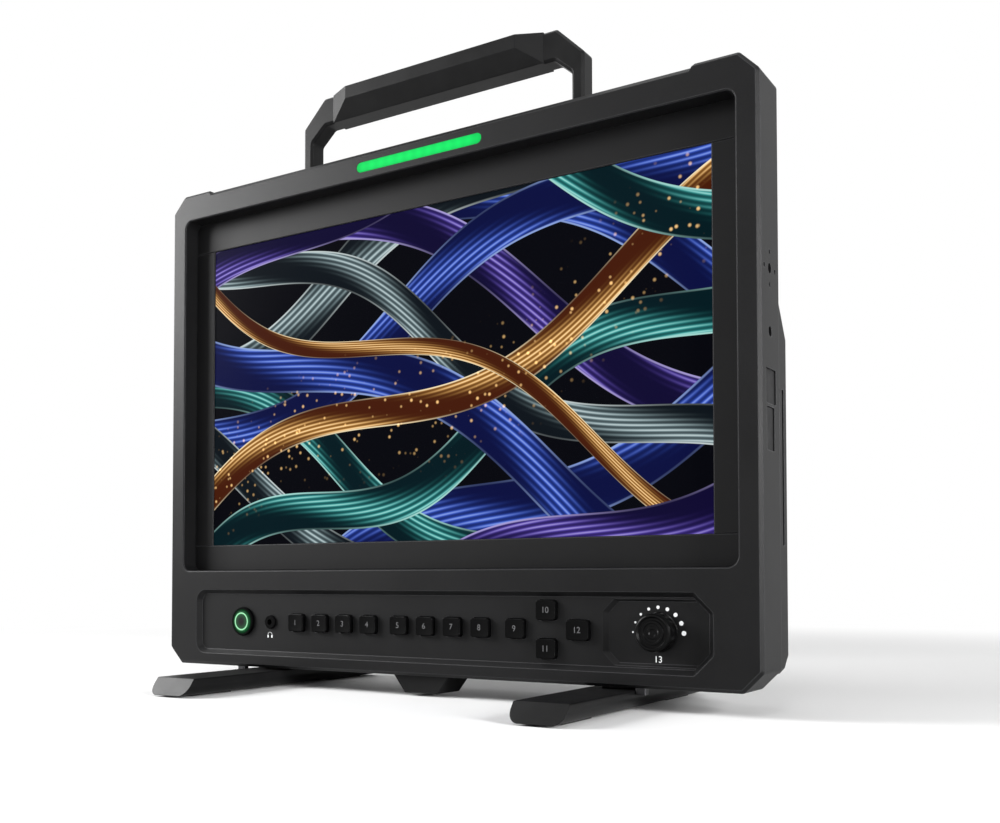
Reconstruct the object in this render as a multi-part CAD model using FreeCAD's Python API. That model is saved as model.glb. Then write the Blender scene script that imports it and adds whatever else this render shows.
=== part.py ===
"""Production monitor: a 15.6 inch field monitor with a carry handle, swing feet, keys and a menu knob.

Millimetres. X runs to the right seen from the front, Y from the front to the back, Z up.
The origin lies on the ground under the middle of the feet. Depths are measured from the front face.
"""
import FreeCAD
import Part
import math
import os

V = FreeCAD.Vector

# Screen and the frame around it
SCREEN_WIDTH = 344.2
SCREEN_HEIGHT = 193.6
TRIM_SIDE = 16.0
TRIM_TOP = 19.7
TRIM_BOTTOM = 16.5
RAIL_SIDE = 12.0
RAIL_TOP = 17.4
CONTROL_HEIGHT = 60.0
FRAME_DEPTH = 27.0
FRAME_CORNER_CUT = 10.0
FRAME_CORNER_ROUND = 3.0
FRAME_EDGE = 1.7
EAR_WIDTH = 34.0
EAR_STEP = 1.2
EAR_SLANT = 2.0
TOP_CHAMFER = 2.7
WALL = 4.0

# Screen recess and what lies in it
RECESS_DEPTH = 10.5
RECESS_ROUND = 5.5
RECESS_LIP = 0.6
TRIM_THICK = 1.0
TRIM_EDGE = 0.4
GLASS_THICK = 1.1
LCD_THICK = 2.0
LCD_BORDER = 6.0
BACKLIGHT_THICK = 6.0
BACKLIGHT_CORNER_CUT = 3.0
BRACKET_THICK = 1.2
BRACKET_SCREW_RISE = 80.0
LOOSE = 0.3
SNUG = 0.1

# Tally light in the top rail
TALLY_LENGTH = 87.4
TALLY_HEIGHT = 6.0
TALLY_RISE = 7.0
TALLY_PROUD = 0.3
TALLY_WALL = 5.0
TALLY_FLANGE = 1.8
TALLY_FLANGE_THICK = 1.5

# Control pocket and knob pad
POCKET_WIDTH = 351.2
POCKET_HEIGHT = 40.6
POCKET_RISE = 28.0
POCKET_DROP = 0.4
POCKET_DEPTH = 3.0
POCKET_SLOPE = 2.6
POCKET_ROUND = 8.0
POCKET_CUT = 10.0
POCKET_BEND = 2.0
PANEL_THICK = 3.0
PAD_LEFT_REACH = 31.0
PAD_RIGHT_REACH = 27.3
PAD_GROOVE = 1.0
PAD_HEIGHT = 1.5
PAD_SLOPE = 1.2
PAD_LEFT_SLOPE = 3.2
PAD_CUT = 6.5
PAD_BEND = 2.0
BOARD_THICK = 1.6

# Keys: two groups of four, one more, a column of two and the last one
KEY_WIDTH = 11.6
KEY_HEIGHT = 10.4
LAST_KEY_WIDTH = 13.0
KEY_ROUND = 1.5
KEY_EDGE = 0.5
KEY_PITCH = 18.4
KEY_GROUP_GAP = 3.8
FIRST_KEY_X = -90.8
COLUMN_STEP = 19.0
COLUMN_RISE = 10.1
LAST_KEY_STEP = 18.6
KEY_BELOW_FACE = 0.1
KEY_LIP = 1.0
KEY_TRAVEL = 1.0
DOME_RADIUS = 3.5
DOME_HEIGHT = 2.0
MAT_THICK = 1.0
MAT_MARGIN = 4.0
POST_RADIUS = 2.5
POST_GAP = 4.3

# Power button
POWER_X = -136.1
POWER_RING_RADIUS = 9.0
POWER_RING_THICK = 1.8
POWER_RING_EDGE = 0.45
POWER_BARREL_RADIUS = 8.0
POWER_BARREL_LENGTH = 15.0
POWER_CAP_RADIUS = 6.4
POWER_CAP_PROUD = 0.6
POWER_CAP_SKIRT = 0.8
POWER_SKIRT_LENGTH = 3.0
POWER_TRAVEL = 1.5
LIGHT_RING_OUTER = 5.6
LIGHT_RING_INNER = 4.8
LIGHT_RING_THICK = 0.8
NUT_THICK = 2.5
NUT_MARGIN = 2.5

# Headphone socket
JACK_X = -113.0
JACK_NUT_RADIUS = 4.25
JACK_NUT_THICK = 1.5
JACK_NUT_EDGE = 0.4
JACK_NOSE_RADIUS = 3.0
JACK_BORE_RADIUS = 1.8
JACK_BORE_LENGTH = 15.0
JACK_BODY = 11.0
JACK_BODY_LENGTH = 12.0

# Menu knob on its push encoder
KNOB_X = 146.0
KNOB_RADIUS = 10.1
KNOB_LENGTH = 6.5
KNOB_GAP = 0.8
KNOB_FLUTES = 40
KNOB_FLUTE_DEPTH = 0.35
KNOB_FLUTE_FROM_BACK = 0.8
KNOB_FLUTE_LENGTH = 4.4
KNOB_EDGE = 0.8
KNOB_DISH_RADIUS = 7.6
KNOB_DISH_DEPTH = 0.6
KNOB_HUB_RADIUS = 2.6
KNOB_HOLLOW_RADIUS = 6.6
KNOB_CROWN = 1.4
KNOB_TRAVEL = 0.5
SHAFT_RADIUS = 3.0
SHAFT_FIT = 0.05
BUSH_RADIUS = 3.6
BUSH_PROUD = 2.6
ENCODER_SIZE = 12.0
ENCODER_NUT_RADIUS = 5.2
ENCODER_NUT_THICK = 2.0
PLUNGER_LENGTH = 1.0

# Rear cover with its hump
COVER_INSET = 6.0
COVER_TOP_INSET = 5.0
COVER_WALL = 2.5
COVER_EDGE = 3.0
COVER_UPPER_DEPTH = 36.0
COVER_HUMP_DEPTH = 60.0
SHOULDER_TOP_RISE = 42.0
SHOULDER_FOOT_RISE = 5.0
HUMP_BOTTOM_CUT = 8.0
COVER_SCREW_INSET = 4.1
COVER_SCREW_RISES = (-44.0, 66.0)
COVER_SCREW_TOP_XS = (68.0, 150.0)
COVER_SCREW_TOP_RISE = 5.0
COVER_BOSS_RADIUS = 3.5
COVER_PAD = 8.0
SIDE_SLOTS = 3
SIDE_SLOT_WIDTH = 3.0
SIDE_SLOT_PITCH = 6.5
SIDE_SLOT_LENGTH = 80.0
SIDE_SLOT_FIRST_DEPTH = 37.0
SIDE_SLOT_RISE = 111.2
REAR_SLOTS = 19
REAR_SLOT_WIDTH = 4.0
REAR_SLOT_PITCH = 12.0
REAR_SLOT_LENGTH = 36.0
REAR_SLOT_RISE = 80.0
VESA_PITCH = 100.0
VESA_RISE = 101.2
VESA_HOLE_RADIUS = 1.65
VESA_HOLE_LENGTH = 7.5
VESA_BOSS_RADIUS = 5.0
VESA_BOSS_LENGTH = 9.0

# Boards behind the screen
MAIN_BOARD_WIDTH = 200.0
MAIN_BOARD_HEIGHT = 112.0
MAIN_BOARD_RISE = 6.0
STANDOFF_LENGTH = 8.0
STANDOFF_RADIUS = 3.0
STANDOFF_MARGIN = 6.0
SINK_WIDTH = 90.0
SINK_HEIGHT = 70.0
SINK_BASE = 4.0
SINK_FIN_HEIGHT = 11.0
SINK_FIN_THICK = 2.0
SINK_FINS = 9

# Sockets in the back
SOCKET_RISE = 25.2
SOCKET_BODY_LENGTH = 14.0
COAX_FIRST_X = -150.0
COAX_PITCH = 22.0
COAX_COUNT = 4
COAX_BODY = 14.0
COAX_NECK_RADIUS = 6.0
COAX_NUT_RADIUS = 7.5
COAX_NUT_THICK = 2.5
COAX_BARREL_RADIUS = 4.8
COAX_BARREL_LENGTH = 9.5
COAX_BORE_RADIUS = 3.9
COAX_CORE_RADIUS = 1.6
COAX_LUG_RADIUS = 1.0
COAX_LUG_REACH = 1.1
COAX_LUG_FROM_END = 3.2
VIDEO_XS = (-48.0, -22.0)
VIDEO_WIDTH = 15.2
VIDEO_HEIGHT = 5.8
VIDEO_SHELL = 0.5
VIDEO_MOUTH = 9.0
VIDEO_TONGUE_WIDTH = 10.0
VIDEO_TONGUE_THICK = 1.4
VIDEO_TONGUE_LENGTH = 7.5
IO_BOARD_HEIGHT = 24.0
IO_BOARD_MARGIN = 6.0
POWER_INLET_X = 140.0
POWER_INLET_RISE = 31.2
INLET_FLANGE_WIDTH = 26.0
INLET_FLANGE_HEIGHT = 31.0
INLET_FLANGE_THICK = 2.5
INLET_FLANGE_ROUND = 3.0
INLET_BODY_RADIUS = 11.5
INLET_BODY_LENGTH = 12.0
INLET_CAVITY_RADIUS = 9.2
INLET_CAVITY_LENGTH = 12.0
INLET_PIN_RADIUS = 1.2
INLET_PIN_CIRCLE = 5.2
INLET_PIN_LENGTH = 9.0

# Carry handle
HANDLE_HALF_WIDTH = 99.0
HANDLE_LEG = 7.4
HANDLE_RISE = 47.3
HANDLE_BAR = 17.0
HANDLE_FRONT_DEPTH = 15.0
HANDLE_THICK = 12.0
HANDLE_CUT_WIDTH = 16.5
HANDLE_CUT_HEIGHT = 16.0
HANDLE_INNER_CUT_WIDTH = 10.5
HANDLE_INNER_CUT_HEIGHT = 9.0
HANDLE_ROUND = 3.0
HANDLE_EDGE = 1.5
GRIP_HALF_WIDTH = 60.0
GRIP_RUNOUT = 14.5
GRIP_PROUD = 6.5
GRIP_FACE = 7.5
HANDLE_SCREW_REACH = 12.0

# Swing feet
FOOT_X = 119.0
FOOT_HEIGHT = 10.5
FOOT_WIDTH = 29.4
FOOT_ROUND = 6.0
FOOT_TOE_REACH = 74.0
FOOT_FRONT_LENGTH = 95.0
FOOT_BACK_LENGTH = 79.0
FOOT_END_SLOPE = 7.0
FOOT_EDGE = 0.8
FOOT_GAP = 1.3
WASHER_RADIUS = 12.0
WASHER_PLAY = 0.05
FOOT_PAD_THICK = 1.0
FOOT_PAD_WIDTH = 15.0
FOOT_PAD_LENGTH = 30.0
FOOT_PAD_SINK = 0.6
FOOT_PAD_FROM_END = 12.0
PIVOT_RADIUS = 4.0
PIVOT_FIT = 0.05
PIVOT_HEAD_RADIUS = 6.5
PIVOT_HEAD_THICK = 3.5
PIVOT_HEAD_SINK = 0.6
PIVOT_THREAD_RADIUS = 3.0
PIVOT_BOSS_RADIUS = 5.5
PIVOT_BOSS_HEIGHT = 9.0
STOP_WIDTH = 5.5
STOP_LENGTH = 4.2
STOP_HEIGHT = 3.3
STOP_DEPTH = 1.2
STOP_ROUND = 0.7

# Mount under the middle and mounts in the sides
MOUNT_DEPTH = 4.5
MOUNT_LENGTH = 22.0
MOUNT_TOP_WIDTH = 38.0
MOUNT_BOTTOM_WIDTH = 22.4
MOUNT_HEIGHT = 10.0
MOUNT_SCREW_STEP = 7.0
CAMERA_THREAD_RADIUS = 2.55
CAMERA_THREAD_LENGTH = 8.0
SIDE_THREAD_DEPTH = 13.8
SIDE_THREAD_PITCH = 30.6
LOCATING_RADIUS = 1.25
LOCATING_CIRCLE = 8.0
LOCATING_LENGTH = 3.0
PORT_SINK = 2.5
PORT_COVER_THICK = 1.6
PORT_ROUND = 1.2
UPPER_PORT = (7.0, 22.0, -35.0, -18.0)
LOWER_PORT = (8.0, 19.5, -57.5, -36.5)

# Fasteners: shank radius, head radius, head thickness
SMALL_SCREW = (1.0, 2.0, 1.3)
SCREW = (1.5, 2.75, 1.5)
BIG_SCREW = (2.0, 3.5, 4.0)
SCREW_PLAY = 0.05
HEAD_PLAY = 0.3
SCREW_BITE = 5.0

# Worked out from the sizes above
FOOT_LENGTH = FOOT_FRONT_LENGTH + FOOT_BACK_LENGTH
FRONT = FOOT_TOE_REACH - FOOT_LENGTH / 2
PIVOT_DEPTH = FOOT_FRONT_LENGTH - FOOT_TOE_REACH
BODY_Z = FOOT_HEIGHT + FOOT_GAP
OPENING_WIDTH = SCREEN_WIDTH + 2 * TRIM_SIDE
OPENING_HEIGHT = TRIM_BOTTOM + SCREEN_HEIGHT + TRIM_TOP
OPENING_Z = BODY_Z + CONTROL_HEIGHT
OPENING_TOP_Z = OPENING_Z + OPENING_HEIGHT
TOP_Z = OPENING_TOP_Z + RAIL_TOP
HANDLE_SEAT_Z = TOP_Z - EAR_STEP
HALF_WIDTH = OPENING_WIDTH / 2 + RAIL_SIDE
SCREEN_Z = OPENING_Z + TRIM_BOTTOM + SCREEN_HEIGHT / 2
POCKET_Z = BODY_Z + POCKET_RISE
GLASS_DEPTH = RECESS_DEPTH + TRIM_THICK
LCD_DEPTH = GLASS_DEPTH + GLASS_THICK
LCD_WIDTH = SCREEN_WIDTH + 2 * LCD_BORDER
LCD_HEIGHT = SCREEN_HEIGHT + 2 * LCD_BORDER
BACKLIGHT_DEPTH = LCD_DEPTH + LCD_THICK
BRACKET_DEPTH = BACKLIGHT_DEPTH + BACKLIGHT_THICK
BRACKET_BACK = BRACKET_DEPTH + BRACKET_THICK
PANEL_BACK = POCKET_DEPTH + PANEL_THICK
KEY_LIP_DEPTH = PANEL_BACK + SNUG
MAT_DEPTH = KEY_LIP_DEPTH + KEY_LIP + KEY_TRAVEL + LOOSE + DOME_HEIGHT
KEY_BOARD_DEPTH = MAT_DEPTH + MAT_THICK
PAD_TOP = POCKET_DEPTH - PAD_HEIGHT
KNOB_BACK = PAD_TOP - KNOB_GAP
TALLY_Z = OPENING_TOP_Z + TALLY_RISE
HANDLE_MIDDLE_DEPTH = HANDLE_FRONT_DEPTH + HANDLE_THICK / 2
MOUNT_MIDDLE_DEPTH = MOUNT_DEPTH + MOUNT_LENGTH / 2
MAIN_BOARD_Z = OPENING_Z + MAIN_BOARD_RISE + MAIN_BOARD_HEIGHT / 2
IO_BOARD_DEPTH = COVER_HUMP_DEPTH - COVER_WALL - SOCKET_BODY_LENGTH
FIFTH_KEY_X = FIRST_KEY_X + 4 * KEY_PITCH + KEY_GROUP_GAP
NINTH_KEY_X = FIFTH_KEY_X + 4 * KEY_PITCH + KEY_GROUP_GAP
COLUMN_X = NINTH_KEY_X + COLUMN_STEP
LAST_KEY_X = COLUMN_X + LAST_KEY_STEP
POST_XS = (FIRST_KEY_X + KEY_PITCH / 2, FIFTH_KEY_X + 1.5 * KEY_PITCH, (LAST_KEY_X + KNOB_X) / 2)
POST_RISE = KEY_HEIGHT / 2 + KEY_LIP + POST_GAP + POST_RADIUS
COVER_SCREW_SIDE_X = OPENING_WIDTH / 2 - COVER_SCREW_INSET
SIDE_SLOT_Z = BODY_Z + SIDE_SLOT_RISE
REAR_SLOT_Z = SCREEN_Z + REAR_SLOT_RISE
VESA_Z = BODY_Z + VESA_RISE
SOCKET_Z = BODY_Z + SOCKET_RISE
POWER_INLET_Z = BODY_Z + POWER_INLET_RISE


def key_places():
    """Centre x, centre z and width of each key, in the order of their numbers."""
    row = [FIRST_KEY_X + KEY_PITCH * i for i in range(4)]
    row += [FIFTH_KEY_X + KEY_PITCH * i for i in range(4)]
    row.append(NINTH_KEY_X)
    places = [(x, POCKET_Z, KEY_WIDTH) for x in row]
    places.append((COLUMN_X, POCKET_Z + COLUMN_RISE, KEY_WIDTH))
    places.append((COLUMN_X, POCKET_Z - COLUMN_RISE, KEY_WIDTH))
    places.append((LAST_KEY_X, POCKET_Z, LAST_KEY_WIDTH))
    return places


# Shapes in the monitor's own directions
def at(x, depth, z):
    """Point given by its depth behind the front face."""
    return V(x, FRONT + depth, z)


def box(x0, x1, d0, d1, z0, z1):
    """Block between two x, two depths and two heights."""
    return Part.makeBox(x1 - x0, d1 - d0, z1 - z0, at(x0, d0, z0))


def rod_y(x, z, radius, d0, d1):
    """Cylinder along the depth."""
    return Part.makeCylinder(radius, d1 - d0, at(x, d0, z), V(0, 1, 0))


def rod_z(x, depth, radius, z0, z1):
    """Upright cylinder."""
    return Part.makeCylinder(radius, z1 - z0, at(x, depth, z0), V(0, 0, 1))


def rod_x(x0, x1, depth, z, radius):
    """Cylinder along the width."""
    return Part.makeCylinder(radius, x1 - x0, at(x0, depth, z), V(1, 0, 0))


def corner_arc(before, corner, after, radius):
    """Start, middle and end of the arc that rounds one corner."""
    back = (before - corner).normalize()
    onward = (after - corner).normalize()
    half = back.getAngle(onward) / 2
    reach = radius / math.tan(half)
    inward = (back + onward).normalize()
    middle = corner + inward * (radius / math.sin(half) - radius)
    return corner + back * reach, middle, corner + onward * reach


def loop(points, radii):
    """Closed wire through the points, with each corner rounded by its radius."""
    count = len(points)
    corners = []
    for i, point in enumerate(points):
        if radii[i] > 0:
            corners.append(corner_arc(points[i - 1], point, points[(i + 1) % count], radii[i]))
        else:
            corners.append((point, None, point))
    edges = []
    for i, (start, middle, end) in enumerate(corners):
        if middle:
            edges.append(Part.Arc(start, middle, end).toShape())
        edges.append(Part.LineSegment(end, corners[(i + 1) % count][0]).toShape())
    return Part.Wire(edges)


def front_loop(corners, depth, radius=0.0):
    """Closed wire facing the front, from (x, z) or (x, z, radius) corners."""
    points = [at(corner[0], depth, corner[1]) for corner in corners]
    radii = [corner[2] if len(corner) > 2 else radius for corner in corners]
    return loop(points, radii)


def front_prism(corners, d0, d1, radius=0.0):
    """Prism along the depth with the given outline."""
    return Part.Face(front_loop(corners, d0, radius)).extrude(V(0, d1 - d0, 0))


def side_prism(corners, x0, x1):
    """Prism along the width from (depth, z) corners."""
    points = [at(x0, depth, z) for depth, z in corners]
    return Part.Face(loop(points, [0] * len(points))).extrude(V(x1 - x0, 0, 0))


def rectangle(x, z, width, height):
    """Corners of an upright rectangle about its centre."""
    half_w = width / 2
    half_h = height / 2
    lower = [(x - half_w, z - half_h), (x + half_w, z - half_h)]
    return lower + [(x + half_w, z + half_h), (x - half_w, z + half_h)]


def plate(x, z, width, height, d0, d1, radius):
    """Plate with rounded corners, facing the front."""
    return front_prism(rectangle(x, z, width, height), d0, d1, radius)


def stadium(x, z, width, height, d0, d1):
    """Plate with round ends, lying or standing, whichever side is longer."""
    radius = min(width, height) / 2
    dx = width / 2 - radius
    dz = height / 2 - radius
    half_w = dx if width > height else radius
    half_h = dz if height > width else radius
    body = box(x - half_w, x + half_w, d0, d1, z - half_h, z + half_h)
    ends = [rod_y(x + side * dx, z + side * dz, radius, d0, d1) for side in (-1, 1)]
    return body.fuse(ends).removeSplitter()


def cut_rectangle(x, z, width, height, cut, radius):
    """Corners of a rectangle whose four corners are cut at 45 degrees, each bend rounded."""
    w = width / 2
    h = height / 2
    outline = [(-w + cut, -h), (w - cut, -h), (w, -h + cut), (w, h - cut)]
    outline += [(w - cut, h), (-w + cut, h), (-w, h - cut), (-w, -h + cut)]
    return [(x + dx, z + dz, radius) for dx, dz in outline]


def edges_at_depth(shape, depth):
    """Edges that lie wholly at one depth."""
    y = FRONT + depth
    return [e for e in shape.Edges if abs(e.BoundBox.YMin - y) < 1e-4 and abs(e.BoundBox.YMax - y) < 1e-4]


def screw(place, direction, kind, length):
    """Pan head screw: its head starts at the place and the shank runs on in the direction."""
    shank_radius, head_radius, head_thick = kind
    head = Part.makeCylinder(head_radius, head_thick, place, direction)
    shank = Part.makeCylinder(shank_radius, length, place + direction * head_thick, direction)
    return head.fuse(shank)


def group(solids):
    """Several separate solids in one piece file."""
    return Part.makeCompound(solids)


# The machined front frame
def pocket_outline(inset):
    """Control pocket: round corners on the left, cut ones on the right."""
    w = POCKET_WIDTH / 2 - inset
    middle = POCKET_Z - POCKET_DROP
    low = middle - POCKET_HEIGHT / 2 + inset
    high = middle + POCKET_HEIGHT / 2 - inset
    rounding = POCKET_ROUND - inset
    cut = POCKET_CUT - inset * (2 - math.sqrt(2))
    right = [(w - cut, low), (w, low + cut), (w, high - cut), (w - cut, high)]
    right = [(x, z, POCKET_BEND) for x, z in right]
    return [(-w, low, rounding)] + right + [(-w, high, rounding)]


def pad_outline(inset, left_inset):
    """Knob pad: a rectangle with cut corners, inset further on its left."""
    left = KNOB_X - PAD_LEFT_REACH + left_inset
    right = KNOB_X + PAD_RIGHT_REACH - inset
    height = POCKET_HEIGHT - 2 * (POCKET_SLOPE + PAD_GROOVE + inset)
    cut = PAD_CUT - inset * (2 - math.sqrt(2))
    middle = POCKET_Z - POCKET_DROP
    return cut_rectangle((left + right) / 2, middle, right - left, height, cut, PAD_BEND)


def frame_blank():
    """Outer block with cut corners, an edge chamfer and the lowered top between the ears."""
    outline = cut_rectangle(0, (BODY_Z + TOP_Z) / 2, 2 * HALF_WIDTH, TOP_Z - BODY_Z,
                            FRAME_CORNER_CUT, FRAME_CORNER_ROUND)
    blank = front_prism(outline, 0, FRAME_DEPTH)
    blank = blank.makeChamfer(FRAME_EDGE, edges_at_depth(blank, 0))
    low = HANDLE_SEAT_Z
    over = EAR_STEP + 1
    section = [(-1, low - TOP_CHAMFER - 1), (TOP_CHAMFER, low), (FRAME_DEPTH + 1, low)]
    section += [(FRAME_DEPTH + 1, low + over), (-1, low + over)]
    half = HALF_WIDTH - EAR_WIDTH
    lowering = side_prism(section, -HALF_WIDTH, HALF_WIDTH)
    drop = TOP_CHAMFER + 1
    span = [(-half + EAR_SLANT, low - drop), (half - EAR_SLANT, low - drop)]
    span += [(half + EAR_SLANT, low + over), (-half - EAR_SLANT, low + over)]
    return blank.cut(lowering.common(front_prism(span, -1, FRAME_DEPTH + 1)))


def screen_cuts():
    """Recess in front of the screen, the window for the panel and the bay behind its flange."""
    z = (OPENING_Z + OPENING_TOP_Z) / 2
    recess = plate(0, z, OPENING_WIDTH, OPENING_HEIGHT, -1, LCD_DEPTH, RECESS_ROUND)
    lip_width = OPENING_WIDTH + 2 * RECESS_LIP
    lip_height = OPENING_HEIGHT + 2 * RECESS_LIP
    lip_front = front_loop(rectangle(0, z, lip_width, lip_height), 0, RECESS_ROUND + RECESS_LIP)
    lip_back = front_loop(rectangle(0, z, OPENING_WIDTH, OPENING_HEIGHT), RECESS_LIP, RECESS_ROUND)
    lip = Part.makeLoft([lip_front, lip_back], True, True)
    window = plate(0, SCREEN_Z, LCD_WIDTH + 2 * LOOSE, LCD_HEIGHT + 2 * LOOSE,
                   LCD_DEPTH - 1, BRACKET_DEPTH + 1, LOOSE)
    bay = plate(0, z, OPENING_WIDTH, OPENING_HEIGHT, BRACKET_DEPTH, FRAME_DEPTH + 1, RECESS_ROUND)
    return [recess, lip, window, bay]


def control_cuts():
    """Pocket in the front below the screen and the cavity for the boards behind it."""
    mouth = front_loop(pocket_outline(0), 0)
    floor = front_loop(pocket_outline(POCKET_SLOPE), POCKET_DEPTH)
    walls = Part.makeLoft([mouth, floor], True, True)
    pad_face = front_loop(pad_outline(PAD_SLOPE, PAD_LEFT_SLOPE), PAD_TOP)
    pad_foot = front_loop(pad_outline(0, 0), POCKET_DEPTH)
    pad = Part.makeLoft([pad_face, pad_foot], True, True)
    half = OPENING_WIDTH / 2
    cavity = box(-half, half, PANEL_BACK, FRAME_DEPTH + 1, BODY_Z + WALL, OPENING_Z - WALL)
    return [walls.cut(pad), cavity]


def key_holes():
    """Openings for the keys, the power button, the headphone socket and the encoder, with flat seats."""
    holes = []
    for x, z, width in key_places():
        holes.append(plate(x, z, width + 2 * LOOSE, KEY_HEIGHT + 2 * LOOSE,
                           0, PANEL_BACK + 1, KEY_ROUND + LOOSE))
    for x, radius in ((POWER_X, POWER_BARREL_RADIUS), (JACK_X, JACK_NOSE_RADIUS), (KNOB_X, BUSH_RADIUS)):
        holes.append(rod_y(x, POCKET_Z, radius + SNUG, 0, PANEL_BACK + 1))
    seats = [(POWER_X, POWER_RING_RADIUS, POCKET_DEPTH), (JACK_X, JACK_NUT_RADIUS, POCKET_DEPTH)]
    seats.append((KNOB_X, KNOB_RADIUS, PAD_TOP))
    holes += [rod_y(x, POCKET_Z, radius + LOOSE, -1, depth) for x, radius, depth in seats]
    return holes


def board_posts():
    """Places of the posts that carry the key board."""
    return [(x, POCKET_Z + side * POST_RISE) for x in POST_XS for side in (-1, 1)]


def cover_screw_places():
    """Places (x, z) of the screws that hold the rear cover."""
    heights = [POCKET_Z] + [SCREEN_Z + rise for rise in COVER_SCREW_RISES]
    sides = [(side * COVER_SCREW_SIDE_X, z) for side in (-1, 1) for z in heights]
    top = [(side * x, OPENING_TOP_Z + COVER_SCREW_TOP_RISE) for side in (-1, 1) for x in COVER_SCREW_TOP_XS]
    return sides + top


def bracket_screw_places():
    """Places (x, z) of the screws that hold the panel bracket to the flange."""
    x = LCD_WIDTH / 2 + LOOSE + (OPENING_WIDTH - LCD_WIDTH) / 4
    return [(side * x, SCREEN_Z + up * BRACKET_SCREW_RISE) for side in (-1, 1) for up in (-1, 1)]


def side_mount_cuts():
    """Threaded holes with locating holes in both sides, and the port pockets in the right side."""
    cuts = []
    for side in (-1, 1):
        for rise in (0, SIDE_THREAD_PITCH):
            inner, outer = sorted((side * (HALF_WIDTH - CAMERA_THREAD_LENGTH), side * (HALF_WIDTH + 1)))
            cuts.append(rod_x(inner, outer, SIDE_THREAD_DEPTH, SCREEN_Z + rise, CAMERA_THREAD_RADIUS))
        inner, outer = sorted((side * (HALF_WIDTH - LOCATING_LENGTH), side * (HALF_WIDTH + 1)))
        z = SCREEN_Z + SIDE_THREAD_PITCH
        for along, up in ((1, 0), (-1, 0), (0, 1), (0, -1)):
            depth = SIDE_THREAD_DEPTH + along * LOCATING_CIRCLE
            cuts.append(rod_x(inner, outer, depth, z + up * LOCATING_CIRCLE, LOCATING_RADIUS))
    cuts += [port_block(port, 0, HALF_WIDTH - PORT_SINK, HALF_WIDTH + 1) for port in (UPPER_PORT, LOWER_PORT)]
    return cuts


def port_block(port, play, x0, x1):
    """Block with rounded corners that fits one side port."""
    d0, d1, low, high = port
    block = box(x0, x1, d0 + play, d1 - play, SCREEN_Z + low + play, SCREEN_Z + high - play)
    corners = [e for e in block.Edges if e.BoundBox.XLength > e.BoundBox.YLength + e.BoundBox.ZLength]
    return block.makeFillet(PORT_ROUND - play, corners)


def top_rail_cuts():
    """Tally slot with its pocket from behind, and the way in for the handle screws."""
    slot = stadium(0, TALLY_Z, TALLY_LENGTH, TALLY_HEIGHT, -1, TALLY_WALL + 1)
    pocket_length = TALLY_LENGTH + 2 * (TALLY_FLANGE + LOOSE)
    pocket_height = TALLY_HEIGHT + 2 * (TALLY_FLANGE + LOOSE)
    cuts = [slot, plate(0, TALLY_Z, pocket_length, pocket_height, TALLY_WALL, FRAME_DEPTH + 1, LOOSE)]
    shank, head, thick = BIG_SCREW
    for x in handle_leg_xs():
        head_top = OPENING_TOP_Z + thick
        cuts.append(rod_z(x, HANDLE_MIDDLE_DEPTH, head + HEAD_PLAY, SCREEN_Z + LCD_HEIGHT / 2, head_top))
        cuts.append(rod_z(x, HANDLE_MIDDLE_DEPTH, shank + SNUG, head_top - 1, TOP_Z + 1))
    return cuts


def frame_screw_holes():
    """Tapped holes for the bracket, cover, key board, mount and foot screws."""
    shank = SCREW[0] + SCREW_PLAY
    small = SMALL_SCREW[0] + SCREW_PLAY
    holes = [rod_y(x, z, shank, BRACKET_DEPTH - SCREW_BITE, BRACKET_DEPTH + 1)
             for x, z in bracket_screw_places()]
    holes += [rod_y(x, z, shank, FRAME_DEPTH - SCREW_BITE, FRAME_DEPTH + 1)
              for x, z in cover_screw_places()]
    holes += [rod_y(x, z, small, KEY_BOARD_DEPTH - BOARD_THICK - SCREW_BITE / 2, KEY_BOARD_DEPTH + 1)
              for x, z in board_posts()]
    holes += [rod_z(0, depth, shank, BODY_Z - 1, BODY_Z + WALL + 1) for depth in mount_screw_depths()]
    boss_top = BODY_Z + WALL + PIVOT_BOSS_HEIGHT
    for x in (-FOOT_X, FOOT_X):
        holes.append(rod_z(x, PIVOT_DEPTH, PIVOT_THREAD_RADIUS + SCREW_PLAY, BODY_Z - 1, boss_top - 1))
    return holes


def frame_bosses():
    """Posts for the key board, bosses over the foot pivots and pads for the rear cover screws."""
    floor = BODY_Z + WALL
    bosses = [rod_y(x, z, POST_RADIUS, PANEL_BACK - 1, KEY_BOARD_DEPTH) for x, z in board_posts()]
    bosses += [rod_z(x, PIVOT_DEPTH, PIVOT_BOSS_RADIUS, floor - 1, floor + PIVOT_BOSS_HEIGHT)
               for x in (-FOOT_X, FOOT_X)]
    for x, z in cover_screw_places():
        if z < OPENING_TOP_Z:
            half = COVER_PAD / 2
            wall = math.copysign(OPENING_WIDTH / 2 + 1, x)
            inner, outer = sorted((x - math.copysign(half, x), wall))
            bosses.append(box(inner, outer, BRACKET_BACK + LOOSE, FRAME_DEPTH, z - half, z + half))
    return bosses


def front_frame():
    """One machined ring with the screen recess above and the control pocket below."""
    frame = frame_blank().cut(screen_cuts() + control_cuts())
    frame = frame.fuse(frame_bosses())
    frame = frame.cut(key_holes() + top_rail_cuts() + side_mount_cuts() + frame_screw_holes())
    return frame.removeSplitter()


def port_covers():
    """Blank covers in the two side ports."""
    outer = HALF_WIDTH - PORT_SINK + PORT_COVER_THICK
    return group([port_block(port, SNUG, HALF_WIDTH - PORT_SINK, outer) for port in (UPPER_PORT, LOWER_PORT)])


# Screen stack
def trim_strip(x0, x1, z0, z1):
    """Flat strip on the glass with a fine chamfer round its front."""
    strip = box(x0, x1, RECESS_DEPTH, GLASS_DEPTH, z0, z1)
    return strip.makeChamfer(TRIM_EDGE, edges_at_depth(strip, RECESS_DEPTH))


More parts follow.
